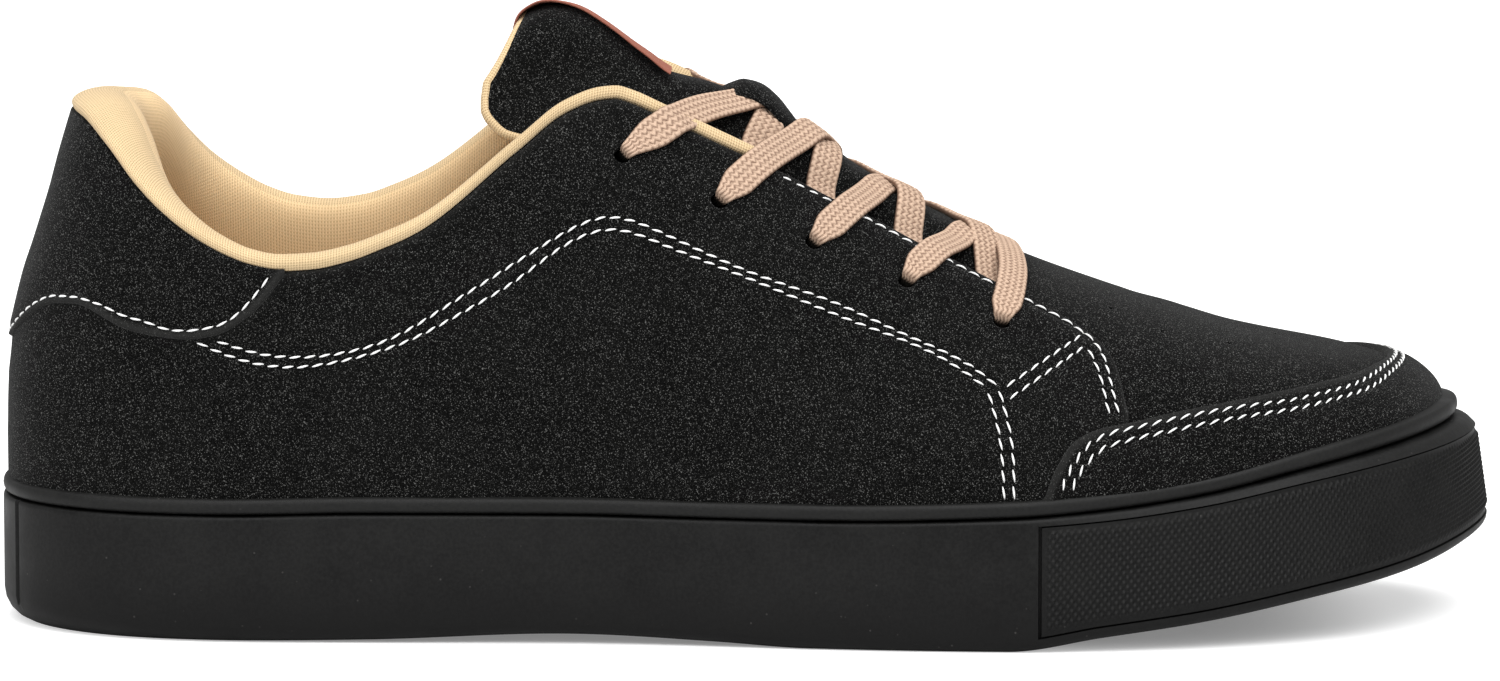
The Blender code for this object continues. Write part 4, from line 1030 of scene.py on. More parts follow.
OPENING = make_opening()
LIP = read(SOLE, "lip", END_X)
RAND_HIGH = LIP + LIP_HEIGHT * (1 + RAND_TALLER * ease(*RAND_GROWS, END_X)) - RAND_OVERLAP
RAND_TOP = meet(LINES, RAND_HIGH[:, None])
TOE_TOP = meet(LINES, read(TOE_EDGE, "height", LINES[..., 0]))
HEEL_LOW = meet(LINES, read(HEEL_EDGE, "height", LINES[..., 0]))
print("edges: top line", TOP.min().round(1), "to", TOP.max().round(1))

# %% [markdown]
# Hand-cut suede never lies dead flat. A few slow waves, a fraction of a millimetre high, and soft creases
# where the foot bends, two troughs with a ridge between them, keep the highlights alive.

# %% Waves and creases
def waves(points):
    """Slow unevenness of the suede: a sum of four sine waves over x, y and z."""
    x, y, z = points[..., 0], points[..., 1], points[..., 2]
    return (
        0.16 * np.sin(x / 13.0 + z / 21.0 + 0.6) + 0.12 * np.sin(x / 7.3 - z / 9.0 + y / 30.0)
        + 0.10 * np.sin(z / 6.1 + x / 29.0 + 2.0) + 0.07 * np.sin(x / 4.4 + z / 5.2)
    )


CREASES = ((229.0, 0.10, -0.22, 4.5), (238.0, 0.16, 0.15, 6.0), (248.0, 0.20, -0.12, 5.0))
CREASES_END = (26.0, 46.0)


def creases(points):
    """Troughs and ridges across the vamp: bells over x, bent back towards the sides."""
    x, aside = points[..., 0], np.abs(points[..., 1])
    total = 0 * x
    for middle, bend, height, width in CREASES:
        off = x - middle + bend * aside * 0.5
        total = total + height * np.exp(-(off / width) ** 2) * (1 - ease(*CREASES_END, aside))
    return total


print("creases:", len(CREASES))

# %% [markdown]
# The upper's shell is suede outside and lined inside. It shows as the vamp over the toes and, looking in, as
# the lining, so its inner faces take the knit finish, apart from the suede facing beside the throat.

# %% Upper shell
SHELL_ROWS = 46
LINING_ROWS = 18
VAMP_SHOWS = (224.0, 228.0)


def add_upper():
    """Outer and inner grids from the cup's floor to the edge, joined along both."""
    at_lip = meet(LINES, LIP[:, None])
    low = np.stack([0 * at_lip, at_lip], axis=1)
    share = np.linspace(0, 1, SHELL_ROWS)[None]
    outer_places = np.concatenate([low, RAND_TOP[:, None] + (OPENING - RAND_TOP)[:, None] * share], axis=1)
    inner_places = OPENING[:, None] * np.linspace(1, 0, LINING_ROWS)[None]
    outer = at(LINES, outer_places)
    lift = (waves(outer) * 0.8 + creases(outer)) * ease(0, 6, outer_places - RAND_TOP[:, None])
    lift = lift * ease(*VAMP_SHOWS, outer[..., 0])
    outer = outer + unit(at(NORMALS, outer_places)) * lift[..., None]
    inner = at(LINES, inner_places) - unit(at(NORMALS, inner_places)) * UPPER_WALL
    points = np.concatenate([outer, inner], axis=1)
    rows = points.shape[1]
    faces = quads(COUNT, rows, True, True)
    row = np.tile(np.arange(rows), COUNT)
    column = np.repeat(np.arange(COUNT), rows)
    sealed = OPENING >= LINE_POINTS - 1
    keep = ~((row == outer.shape[1] - 1) & sealed[column] & sealed[(column + 1) % COUNT])
    lined = (row >= outer.shape[1]) & (row < rows - 1)
    throat = at(LINES, OPENING)[column, 0] > COLLAR_END
    lined = lined & ~(throat & (row < outer.shape[1] + THROAT_FACING))
    belt = inner[:, LINING_ROWS // 2]
    run = np.cumsum(np.linalg.norm(np.diff(belt, axis=0, append=belt[:1]), axis=1))
    height = (LINE_POINTS - np.concatenate([outer_places, inner_places], axis=1)) * STEP[:, None]
    uv = np.stack([run[:, None] + 0 * height, height], axis=2)
    return add_piece(
        "upper_shell", points, faces[keep], [SUEDE, LINING], "suede", ["upper"],
        uv=uv, raw=np.zeros(points.shape[:2]), second=lined[keep])


UPPER = add_upper()

# %% [markdown]
# Panels are cut from suede about a millimetre thick. Each is a strip between two edges on the columns'
# lines. Near a raw edge the surface rounds down to the shoe, and a mark there tells the finish to show the
# paler cut. Stitch rows press a shallow furrow into the panel.

# %% Panels
EDGE_STEPS = np.array([0.0, 0.10, 0.24, 0.45, 0.75, 1.2, 1.9])
EDGE_ROUND = 0.7
FURROW = 0.30
PANEL_BASE = 0.05
PANEL_SUNK = 0.25
PANEL_BACK_ROWS = 9
SKIVED = (1.2, 2.3)
CUT_WIDTH = 0.7
FURROW_WIDTH = 0.85
NARROW = 2.6
FAR = 99.0


def slant(chosen, place):
    """Cosine of an edge's slope against the columns, to measure square to the edge."""
    edge = at(LINES[chosen], place[chosen])
    along = np.gradient(edge, axis=0)
    up = unit(at(np.gradient(LINES, axis=1)[chosen], place[chosen]))
    rise = (unit(along) * up).sum(axis=1)
    return np.sqrt(np.maximum(1 - rise ** 2, 0.02))


def near_seams(points, seams):
    """Distance from every point to the nearest point of the seams, worked out in slices."""
    flat = points.reshape(-1, 3).astype(np.float32)
    line = np.concatenate(seams).astype(np.float32)
    square = (line ** 2).sum(axis=1)
    parts = []
    for part in np.array_split(flat, max(len(flat) // 2000, 1)):
        gap = (part ** 2).sum(axis=1)[:, None] + square[None] - 2 * part @ line.T
        parts.append(np.sqrt(np.maximum(gap.min(axis=1), 0)))
    return np.concatenate(parts).reshape(points.shape[:2])


def add_panel(name, chosen, low, high, thick, raw_low, seams, replaces, middle=70, skived=0.0):
    """A strip of suede: outer rows between the edges, and a few inner rows sunk into the shell. The cut shows
    along its edges, and a wider skived band where asked."""
    wide = (high - low)[chosen] * STEP[chosen]
    squeeze = np.minimum(1, wide / (NARROW * EDGE_STEPS[-1]))[:, None]
    from_low = EDGE_STEPS[None] * squeeze
    from_high = wide[:, None] - EDGE_STEPS[::-1][None] * squeeze
    share = np.linspace(0, 1, middle + 2)[None, 1:-1]
    between = from_low[:, -1:] + (from_high[:, :1] - from_low[:, -1:]) * share
    run = np.concatenate([from_low, between, from_high], axis=1)
    places = low[chosen][:, None] + run / STEP[chosen][:, None]
    on = at(LINES[chosen], places)
    normal = unit(at(NORMALS[chosen], places))
    to_high = (wide[:, None] - run) * slant(chosen, high)[:, None]
    to_low = run * slant(chosen, low)[:, None] if raw_low else FAR + 0 * run
    near = np.minimum(to_high, to_low)
    rounded = np.sqrt(1 - (1 - np.clip(near / EDGE_ROUND, 0, 1)) ** 2)
    lift = PANEL_BASE + thick * rounded + waves(on) * ease(0.5, 5, near)
    if seams:
        lift = lift - FURROW * np.exp(-(near_seams(on, seams) / FURROW_WIDTH) ** 2) * rounded
    outer = on + normal * lift[..., None]
    back = high[chosen][:, None] + (low - high)[chosen][:, None] * np.linspace(0, 1, PANEL_BACK_ROWS)[None]
    inner = at(LINES[chosen], back) - unit(at(NORMALS[chosen], back)) * PANEL_SUNK
    bare = to_low if raw_low else to_high
    cut = np.maximum(np.exp(-bare / CUT_WIDTH), skived * (1 - ease(*SKIVED, bare)))
    raw = np.concatenate([cut, np.zeros(back.shape)], axis=1)
    points = np.concatenate([outer, inner], axis=1)
    return add_sweep(name, points, [SUEDE], "suede", replaces=replaces, raw=raw)


print("panel edges round over", EDGE_ROUND, "mm")

# %% [markdown]
# The seams, read off the outer side as x and z in millimetres. The inner side of the shoe has the same seams.
# The rows round the toe guard and the heel panel keep a distance from those panels' own edges instead.

# %% Seams
SEAMS = {
    "side_upper": [(45.5, 59.5), (54, 57), (66.5, 56.6), (80, 60), (90.5, 66), (101, 72.5), (113.5, 80.2),
                   (122, 83.5), (133, 80.5), (148.5, 73.6), (167.5, 66.4), (181.5, 60.4), (195, 54), (199, 51)],
    "side_lower": [(41.5, 59.2), (51.5, 55.5), (61, 54.4), (72, 56), (82.5, 59.2), (94.5, 65.3), (105, 71.6),
                   (115.5, 78.9), (122.5, 81.2), (133, 78.4), (152, 70.9), (170.5, 63.2), (188, 56.4),
                   (196.5, 51.1)],
    "drop_back": [(197.1, 50.2), (199, 43.3), (200.1, 29.6)],
    "drop_front": [(199.2, 50.6), (201.5, 41.6), (202, 29.6)],
    "branch_upper": [(200.4, 50.9), (208, 55.3), (215.9, 59.5)],
    "branch_lower": [(201, 48.7), (208.5, 53.2), (216.2, 57.5)],
    "front_outer": [(216.2, 59.9), (219.4, 56.6), (221.1, 51.6), (222.6, 45.6)],
    "front_inner": [(216.8, 57.2), (218.8, 53.3), (220.1, 48.4), (220.8, 45.4)],
    "throat": [(156.2, 90.3), (166, 85.1), (176, 80), (183, 76.3), (190, 73), (197, 69.4), (205, 65.6),
               (210.5, 62.9), (214.6, 60.7), (216.3, 59.4)],
}
TOE_ROWS = {
    "toe_upper": table(
        "x depth",
        (210.8, 6.3), (213.2, 4.6), (217.4, 2.3), (223.0, 1.5), (233.0, 1.7), (246.0, 2.1),
        (258.0, 2.9), (266.0, 2.9), (272.0, 2.3), (276.3, 1.6), (280.0, 1.1),
    ),
    "toe_lower": table(
        "x depth",
        (213.0, 9.0), (215.5, 6.3), (220.7, 4.0), (226.0, 3.7), (233.0, 4.0), (246.0, 4.3),
        (258.0, 4.9), (266.0, 4.8), (270.0, 4.6), (275.0, 3.6), (280.0, 2.6),
    ),
}
HEEL_ROW = table(
    "x depth",
    (0, 1.7), (5, 1.4), (11.5, 1.5), (18, 1.4), (25, 2.6), (31, 2.7), (36.5, 1.8), (48.5, 2.0), (54, 3.4),
    (57, 4.0), (59.5, 4.6),
)
TRACK_STEP = 0.25
ROW_PAST_TOP = 0.3
TOE_FROM = 207.0
HEEL_TO = 63.5


def sewn(points, side):
    """Points and normals every quarter millimetre along a seam on one side."""
    line = curve(points, 2.5)
    column, place = find(line[:, 0], line[:, 1], side)
    track = curve(np.stack([column, place], axis=1), TRACK_STEP)
    points, normals = surface(track[:, 0], track[:, 1])
    return even_track(points, normals)


def even_track(points, normals):
    """Points and normals at even quarter millimetres along a track."""
    run = run_length(points)
    even = np.arange(0, run[-1], TRACK_STEP)
    return resampled(run, points, even), unit(resampled(run, normals, even))


def edge_row(chosen, place, rows, sign):
    """A row of stitches at a tabled depth from a panel's edge, above it (sign 1) or below it (sign -1)."""
    x = at(LINES[chosen], place[chosen])[:, 0]
    depth = smooth(rows["x"], rows["depth"], x)
    row = place[chosen] + sign * depth / STEP[chosen]
    keep = x >= rows["x"][0]
    if sign > 0:
        keep = keep & (x <= rows["x"][-1]) & (row < TOP[chosen] + ROW_PAST_TOP)
    points = at(LINES[chosen], row)[keep]
    normals = unit(at(NORMALS[chosen], row))[keep]
    return even_track(points, normals)


QUARTER_SEAMS = {(name, side): sewn(points, side) for name, points in SEAMS.items() for side in (-1, 1)}
TOE_COLUMNS = np.arange(-HEEL_BACK, HEEL_BACK) % COUNT
TOE_COLUMNS = TOE_COLUMNS[END_X[TOE_COLUMNS] > TOE_FROM]
HEEL_COLUMNS = np.flatnonzero(END_X < HEEL_TO)
TOE_SEAMS = {name: edge_row(TOE_COLUMNS, TOE_TOP, rows, -1) for name, rows in TOE_ROWS.items()}
HEEL_SEAM = edge_row(HEEL_COLUMNS, HEEL_LOW, HEEL_ROW, 1)
print("seams:", len(QUARTER_SEAMS) + len(TOE_SEAMS) + 1)

# %% [markdown]
# Three kinds of panel lie on the shell. The quarters run from the rand to the top line and tuck under the toe
# guard and the heel panel. These two are thicker and show a wider skived band along their free edge.

# %% Quarters, heel panel and toe guard
QUARTER_THICK = 1.0
HEEL_THICK = 1.95
GUARD_THICK = 1.65
HEEL_SKIVED = 0.85
GUARD_SKIVED = 0.7
HEEL_ROWS = 40
GUARD_ROWS = 30
UNDER_GUARD = 1.0
UNDER_HEEL = 1.2
PAST_TOP = 0.6
GUARD_MEETS = 207.6
HEEL_MEETS = 63.1
QUARTER_FRONT = 224.6
LEAST_WIDE = 0.25


def wide_enough(chosen, low, high):
    """The chosen columns on which a strip is at least a little wide."""
    return chosen[((high - low) * STEP)[chosen] > LEAST_WIDE]


def add_panels():
    """Quarters with a raw front edge, the heel's wavy panel and the guard round the toe."""
    guard = meet(LINES, read(TOE_EDGE, "height", LINES[..., 0]) - UNDER_GUARD)
    low = np.where(END_X > GUARD_MEETS, np.maximum(guard, RAND_TOP), RAND_TOP)
    heel = np.where(END_X < HEEL_MEETS, np.minimum(HEEL_LOW + UNDER_HEEL / STEP, TOP), TOP)
    chosen = wide_enough(np.flatnonzero(END_X < QUARTER_FRONT), low, heel)
    seams = [points for points, normals in QUARTER_SEAMS.values()]
    quarters = add_panel("upper_quarters", chosen, low, heel, QUARTER_THICK, False, seams, ["quarters"])
    top = TOP + PAST_TOP / STEP
    chosen = wide_enough(HEEL_COLUMNS, HEEL_LOW, top)
    add_panel(
        "upper_heel_panel", chosen, HEEL_LOW, top, HEEL_THICK, True, [HEEL_SEAM[0]], ["heel_panel"],
        HEEL_ROWS, HEEL_SKIVED)
    chosen = wide_enough(TOE_COLUMNS, RAND_TOP, TOE_TOP)
    seams = [points for points, normals in TOE_SEAMS.values()]
    add_panel(
        "upper_toe_guard", chosen, RAND_TOP, TOE_TOP, GUARD_THICK, False, seams, ["toe_guard"],
        GUARD_ROWS, GUARD_SKIVED)
    return quarters


QUARTERS = add_panels()

# %% [markdown]
# Eyelets are plain punched holes. Short rods along the surface's normal cut them, and the vamp's pinholes, out
# of the meshes with a Boolean, which is then applied. Small dull black discs behind the eyelets are painted
# shade: they keep the holes dark.

# %% Eyelets and pinholes
LACING = table(
    "eyelet height",
    (125.3, 95.3), (144.2, 86.3), (162.7, 77.9), (181.2, 70.2), (199.9, 62.3),
)
EYELET_RADIUS = 1.8
EYELET_CUT = (-4.0, 4.0)
# Depths and extra radius of the dull black discs behind the eyelets, painted shade for the holes.
HOLE_SHADE_LEVELS = (-1.5, -1.1)
HOLE_SHADE_WIDER = 0.3
PINHOLES = ((222.3, 63.8), (232.9, 62.6), (232.4, 59.4), (245.8, 56.9), (259.1, 56.2))
PINHOLE_RADIUS = 0.42
PINHOLE_CUT = (-1.2, 1.2)


def make_rods(spots, radius, levels, sides):
    """Points and faces of closed rods square to the surface at side-view places, on both sides of the shoe."""
    x, z = np.array(spots, float).T
    turn = np.arange(sides) * 2 * np.pi / sides
    ends = []
    for side in (-1, 1):
        middle, normal = surface(*find(x, z, side))
        first = unit(np.cross(normal, (0.0, 0.0, 1.0)))
        second = np.cross(normal, first)
        ring = first[:, None] * np.cos(turn)[None, :, None] + second[:, None] * np.sin(turn)[None, :, None]
        both = [middle[:, None] + normal[:, None] * level + ring * radius for level in levels]
        ends.append(np.stack(both, axis=1))
    points = np.concatenate(ends)
    faces = []
    for k in range(len(points)):
        start = k * 2 * sides
        low = np.arange(start, start + sides)
        faces += [low[::-1].tolist(), (low + sides).tolist()]
        faces += np.stack([low, np.roll(low, -1), np.roll(low, -1) + sides, low + sides], axis=1).tolist()
    return points, faces


def add_rods(name, points, faces):
    """Rods as an object that only cuts."""
    mesh = bpy.data.meshes.new(name)
    mesh.from_pydata(((points.reshape(-1, 3) - CENTRE) * MM).tolist(), [], faces)
    rods = bpy.data.objects.new(name, mesh)
    bpy.context.scene.collection.objects.link(rods)
    return rods


def punch(piece, rods):
    """Cuts the rods out of a piece for good."""
    change = piece.modifiers.new("punch", "BOOLEAN")
    change.operation = "DIFFERENCE"
    change.solver = "EXACT"
    change.object = rods
    bpy.context.view_layer.update()
    made = bpy.data.meshes.new_from_object(piece.evaluated_get(bpy.context.evaluated_depsgraph_get()))
    piece.modifiers.clear()
    piece.data = made
    print(piece.name, "punched:", len(made.polygons), "faces")


EYELETS = np.stack([LACING["eyelet"], LACING["height"]], axis=1)
EYELET_RODS = add_rods("eyelet_rods", *make_rods(EYELETS, EYELET_RADIUS, EYELET_CUT, 20))
PINHOLE_RODS = add_rods("pinhole_rods", *make_rods(PINHOLES, PINHOLE_RADIUS, PINHOLE_CUT, 10))
punch(UPPER, EYELET_RODS)
punch(UPPER, PINHOLE_RODS)
punch(QUARTERS, EYELET_RODS)
for rods in (EYELET_RODS, PINHOLE_RODS):
    bpy.data.objects.remove(rods)
# Painted shade: dull black discs behind the eyelets keep the holes dark.
HOLE_SHADE_DISCS = make_rods(EYELETS, EYELET_RADIUS + HOLE_SHADE_WIDER, HOLE_SHADE_LEVELS, 16)
add_piece("upper_eyelet_hole_shade", *HOLE_SHADE_DISCS, [HOLE_SHADE_FINISH], "suede")

# %% [markdown]
# White stitches are short lengths of thread. Each one comes up out of the suede, lies a little slantwise and
# goes down again. All the stitches of a panel are one mesh, worked out as one array.

# %% Stitches
STITCH = 2.3
STITCH_PITCH = 2.9
THREAD_RADIUS = 0.20
THREAD_POINTS = 9
THREAD_SIDES = 8
STITCH_SUNK = 0.36
STITCH_FLAT = 0.55
STITCH_THIN = 0.35
THREAD_OVAL = (1.12, 0.9)
QUARTER_OUT = 1.05
GUARD_OUT = 1.7
HEEL_OUT = 2.0


def add_stitches(name, tracks, lean):
    """Tubes along tracks of points and normals: height over the suede is a flat arch, ends sunk, and each
    stitch leans sideways from end to end."""
    t = np.linspace(0, 1, THREAD_POINTS)
    turn = np.arange(THREAD_SIDES) * 2 * np.pi / THREAD_SIDES
    pieces = []
    for points, normals, out in tracks:
        length = (len(points) - 1) * TRACK_STEP
        count = max(int(length / STITCH_PITCH), 1)
        pitch = length / count
        place = (np.arange(count)[:, None] + 0.5) * pitch + (t[None] - 0.5) * STITCH * pitch / STITCH_PITCH
        index = np.clip(place / TRACK_STEP, 0, len(points) - 1.001)
        low = index.astype(int)
        share = (index - low)[..., None]
        middle = points[low] * (1 - share) + points[low + 1] * share
        normal = unit(normals[low])
        along = unit(np.gradient(middle, axis=1))
        side = unit(np.cross(normal, along))
        arch = np.sin(np.pi * t) ** STITCH_FLAT
        slip = lean * (t - 0.5)[None, :, None] * side
        level = out + waves(middle) - STITCH_SUNK + STITCH_SUNK * arch[None]
        middle = middle + normal * level[..., None] + slip
        size = THREAD_RADIUS * np.maximum(arch, STITCH_THIN)[None, :, None, None]
        ring = side[:, :, None] * np.cos(turn)[None, None, :, None] * THREAD_OVAL[0]
        ring = ring + normal[:, :, None] * np.sin(turn)[None, None, :, None] * THREAD_OVAL[1]
        pieces.append(middle[:, :, None] + ring * size)
    points = np.concatenate(pieces)
    total, rings, sides = points.shape[:3]
    tube = quads(rings, sides, False, True)
    caps = [list(range(sides)), list(range((rings - 1) * sides, rings * sides))[::-1]]
    start = np.arange(total) * rings * sides
    faces = (start[:, None, None] + tube[None]).reshape(-1, 4).tolist()
    faces += (start[:, None] + np.array(caps[0])[None]).tolist()
    faces += (start[:, None] + np.array(caps[1])[None]).tolist()
    return add_piece(name, points, faces, [THREAD], "braid")


add_stitches("stitches_quarters", [(*seam, QUARTER_OUT) for seam in QUARTER_SEAMS.values()], lean=0.36)
add_stitches("stitches_toe", [(*seam, GUARD_OUT) for seam in TOE_SEAMS.values()], lean=0.8)
add_stitches("stitches_heel", [(*HEEL_SEAM, HEEL_OUT)], lean=0.15)

# %% [markdown]
# The collar is knit over foam: it rolls over the suede's top edge and runs down inside. A short table gives
# the roll's profile, as places up the wall and out from it, at the ankle and round the heel.

# %% Collar
COLLAR = table(
    "side_up side_out heel_up heel_out",
    (-1.25, 0.2, -1.45, 0.2), (-1.2, 1.5, -1.3, 1.8), (0.0, 2.15, -0.1, 2.4), (1.2, 1.4, 1.7, 1.2),
    (1.9, -0.6, 3.8, -2.0), (1.2, -3.2, 4.7, -6.8), (-2.0, -5.0, 1.6, -11.6), (-9.0, -5.6, -8.0, -12.6),
    (-20.0, -4.8, -22.0, -8.0), (-32.0, -3.4, -36.0, -3.4), (-33.0, -2.2, -37.0, -2.2),
    (-22.0, -1.9, -24.0, -1.9), (-11.0, -1.9, -12.0, -1.9), (-1.0, -1.7, -1.0, -1.7),
)
COLLAR_THINS = 0.75
COLLAR_THINNING = (80.0, 112.0)
LINING_OUT = -2.4
COLLAR_PAST = 1.5
COLLAR_FINER = 4
COLLAR_INSIDE = (19, 42)


def add_collar():
    """The roll's profile on each column, rounded by a closed spline across its points."""
    chosen = np.flatnonzero(END_X < COLLAR_END + COLLAR_PAST)
    lines, normals, step = LINES[chosen], NORMALS[chosen], STEP[chosen]
    edge = OPENING[chosen]
    x = at(lines, edge)[:, 0]
    heel = heel_share(x)
    thin = 1 - COLLAR_THINS * ease(*COLLAR_THINNING, x)
    points = []
    for side_up, side_out, heel_up, heel_out in zip(*COLLAR.values()):
        up = side_up + (heel_up - side_up) * heel
        out = side_out + (heel_out - side_out) * heel
        up = np.where(up < -2 * BINDING, up * thin, up)
        out = np.where(out < LINING_OUT, LINING_OUT + (out - LINING_OUT) * thin, out)
        place = edge + np.minimum(up, 0) / step
        rise = unit(at(lines, place + 1) - at(lines, place - 1))
        away = unit(at(normals, place))
        points.append(at(lines, place) + rise * np.maximum(up, 0)[:, None] + away * out[:, None])
    profile = np.stack(points)
    fine = closed_spline(profile.reshape(len(profile), -1), COLLAR_FINER).reshape(-1, len(chosen), 3)
    points = np.swapaxes(fine, 0, 1)
    row = np.arange(points.shape[1])
    inside = np.tile((row > COLLAR_INSIDE[0]) & (row < COLLAR_INSIDE[1]), len(chosen) - 1)
    collar = add_sweep(
        "collar", points, [KNIT, LINING], "knit", replaces=["collar_lining"], uv=cloth_uv(points),
        second=np.concatenate([inside, [False, False]]))


add_collar()

# %% [markdown]
# The tongue is a padded strip under the lace, suede outside and knit inside, bound round its free edges. It is
# worked out over the last as well: half width, thickness and lift over the foot in a short table.

# %% Tongue
TONGUE = table(
    "along half thick lift",
    (35.2, 24.0, 3.4, 0.6), (36.2, 29.5, 5.2, 2.9), (37.4, 32.5, 6.4, 4.1), (39.0, 35.0, 7.5, 4.3),
    (40.6, 35.5, 7.5, 3.3), (42.5, 34.0, 7.2, 1.3), (44.0, 31.0, 7.0, -0.2), (44.9, 29.5, 7.0, -0.9),
    (46.1, 29.0, 7.2, -0.2), (48.5, 28.0, 7.6, 1.2), (51.0, 27.0, 7.8, 1.4), (54.5, 25.5, 7.5, 1.9),
    (57.0, 26.5, 6.0, 1.0), (60.0, 27.0, 5.5, 0.8), (63.0, 27.0, 5.0, 1.1), (66.5, 26.5, 4.5, -0.4),
    (68.0, 26.0, 4.0, -2.0), (71.5, 24.0, 2.5, -3.0),
)
TONGUE_EDGE = 2.5
TONGUE_UNDER = -3.9
TONGUE_CLEAR = 4.0
ROLL_CLEAR = 3.6
TONGUE_SHEAR = 0.0122
SHEAR_FADES = (110.0, 160.0)
PLATEAU = (0.25, 0.42)
PLATEAU_GROWS = (152.0, 172.0)
LEAST_HALF = 8.0
WRINKLE = 0.25
BOUND_STATIONS = 24


def tongue_out(x, arc):
    """How far the tongue's top lies out from the last: low under the quarters, proud in the middle."""
    middle = read(TONGUE, "lift", x)
    side = arc_down(x, np.where(arc < 0, -1.0, 1.0), read(TOPLINE, "outer", x))
    roll = ROLL_CLEAR * (1 - ease(COLLAR_END, COLLAR_END + COLLAR_FADE, x))
    width = np.maximum(np.abs(side) - TONGUE_CLEAR - roll, LEAST_HALF)
    flat = PLATEAU[0] + (PLATEAU[1] - PLATEAU[0]) * ease(*PLATEAU_GROWS, x)
    return middle + (TONGUE_UNDER - middle) * ease(flat * width, width, np.abs(arc))


def tongue_grid(stations, shares):
    """Points, normals and offsets on a grid of stations and shares of the half width."""
    x, share = [values.ravel() for values in np.meshgrid(stations, shares, indexing="ij")]
    arc = share * read(TONGUE, "half", x)
    shear = TONGUE_SHEAR * (1 - ease(*SHEAR_FADES, x))
    points, normals = on_last(x - shear * arc ** 2, arc)
    shape = (len(stations), len(shares))
    return points.reshape(*shape, 3), normals.reshape(*shape, 3), tongue_out(x, arc).reshape(*shape, 1)


def add_tongue():
    """Top and underside grids of the tongue, joined round the edge; gives the free edge's path for the binding.
    """
    stations = np.linspace(TONGUE["along"][0], TONGUE["along"][-1], 64) * LENGTH / 100
    shares = np.sin(np.linspace(-np.pi / 2, np.pi / 2, 33))
    points, normals, out = tongue_grid(stations, shares)
    middle = read(TONGUE, "thick", stations)[:, None]
    thick = TONGUE_EDGE + np.maximum(middle - TONGUE_EDGE, 0) * (1 - shares ** 2)[None]
    wrinkle = WRINKLE * np.sin(points[..., 0] / 5.2 + points[..., 1] / 11.0) * (1 - shares ** 2)[None]
    top = points + normals * (out + wrinkle[..., None])
    under = points + normals * (out - thick[..., None])
    grid = np.concatenate([top, under[:, ::-1]], axis=1)
    uv = np.stack([grid[..., 1], grid[..., 0]], axis=2)
    row = np.arange(2 * len(shares))
    second = np.tile((row >= len(shares)) & (row < len(row) - 1), len(stations) - 1)
    tongue = add_sweep(
        "tongue_pad", grid, [SUEDE, LINING], "suede", replaces=["tongue"], uv=uv,
        raw=np.zeros(grid.shape[:2]), second=np.concatenate([second, [False, False]]))
    return free_edge((top + under) / 2), free_edge(normals), free_edge(thick) / 2


def free_edge(values):
    """Values of a grid along the tongue's free edge: up one side, round the end and down the other side."""
    return np.concatenate([values[BOUND_STATIONS:0:-1, 0], values[0], values[1:BOUND_STATIONS + 1, -1]])


TONGUE_PATH = add_tongue()
BIND_STEP = 0.8
BIND_HALF = 1.05
BIND_PROUD = 0.2
BIND_SIDES = 16


def add_tongue_binding(path, facing, size):
    """A rib-knit tube along the tongue's free edge, a little thicker than the edge."""
    run = run_length(path)
    even = np.linspace(0, run[-1], int(run[-1] / BIND_STEP))
    thick = np.interp(even, run, size)[:, None, None] + BIND_PROUD
    middle = resampled(run, path, even)
    up = unit(resampled(run, facing, even))
    side = unit(np.cross(unit(np.gradient(middle, axis=0)), up))
    turn = (np.arange(BIND_SIDES) * 2 * np.pi / BIND_SIDES)[None, :, None]
    points = middle[:, None] + side[:, None] * np.cos(turn) * BIND_HALF + up[:, None] * np.sin(turn) * thick
    add_sweep("tongue_binding", points, [KNIT], "knit", uv=cloth_uv(points))


add_tongue_binding(*TONGUE_PATH)

# %% [markdown]
# Half-way up, the tongue has a keeper: a short strap of suede, sewn down at both ends, that holds the first
# crossing of the lace in the middle.

# %% Lace keeper
KEEPER = table(
    "along out",
    (48.0, 0.6), (48.4, 2.4), (49.1, 4.6), (50.2, 5.4), (51.2, 4.8), (52.2, 3.5), (53.2, 2.1), (54.2, 0.9),
)
KEEPER_HALF = 7.0
KEEPER_THICK = 1.3
KEEPER_DROOP = 1.5


def add_keeper():
    """A strap over the crown line, arched along it as the table says and drooping to its long edges."""
    stations = np.linspace(KEEPER["along"][0], KEEPER["along"][-1], 36) * LENGTH / 100
    shares = np.sin(np.linspace(-np.pi / 2, np.pi / 2, 23))
    x, share = [values.ravel() for values in np.meshgrid(stations, shares, indexing="ij")]
    points, normals = on_last(x, share * KEEPER_HALF + 0.01)
    out = read(KEEPER, "out", x) - KEEPER_DROOP * share ** 2
    rounded = np.sqrt(np.maximum(1 - share ** 8, 0)) * KEEPER_THICK / 2
    shape = (len(stations), len(shares), 3)
    middle = points + normals * (out - KEEPER_THICK / 2)[:, None]
    top = (middle + normals * rounded[:, None]).reshape(shape)
    under = (middle - normals * rounded[:, None]).reshape(shape)
    grid = np.concatenate([top, under[:, -2:0:-1]], axis=1)
    add_sweep("tongue_lace_keeper", grid, [SUEDE], "suede", raw=np.zeros(grid.shape[:2]))


add_keeper()

# %% [markdown]
# A bare leather tab lies over the tongue's top. It is stiffer than the suede, so it stays flat across while
# the tongue curves away under it, and its back end turns down over the edge.

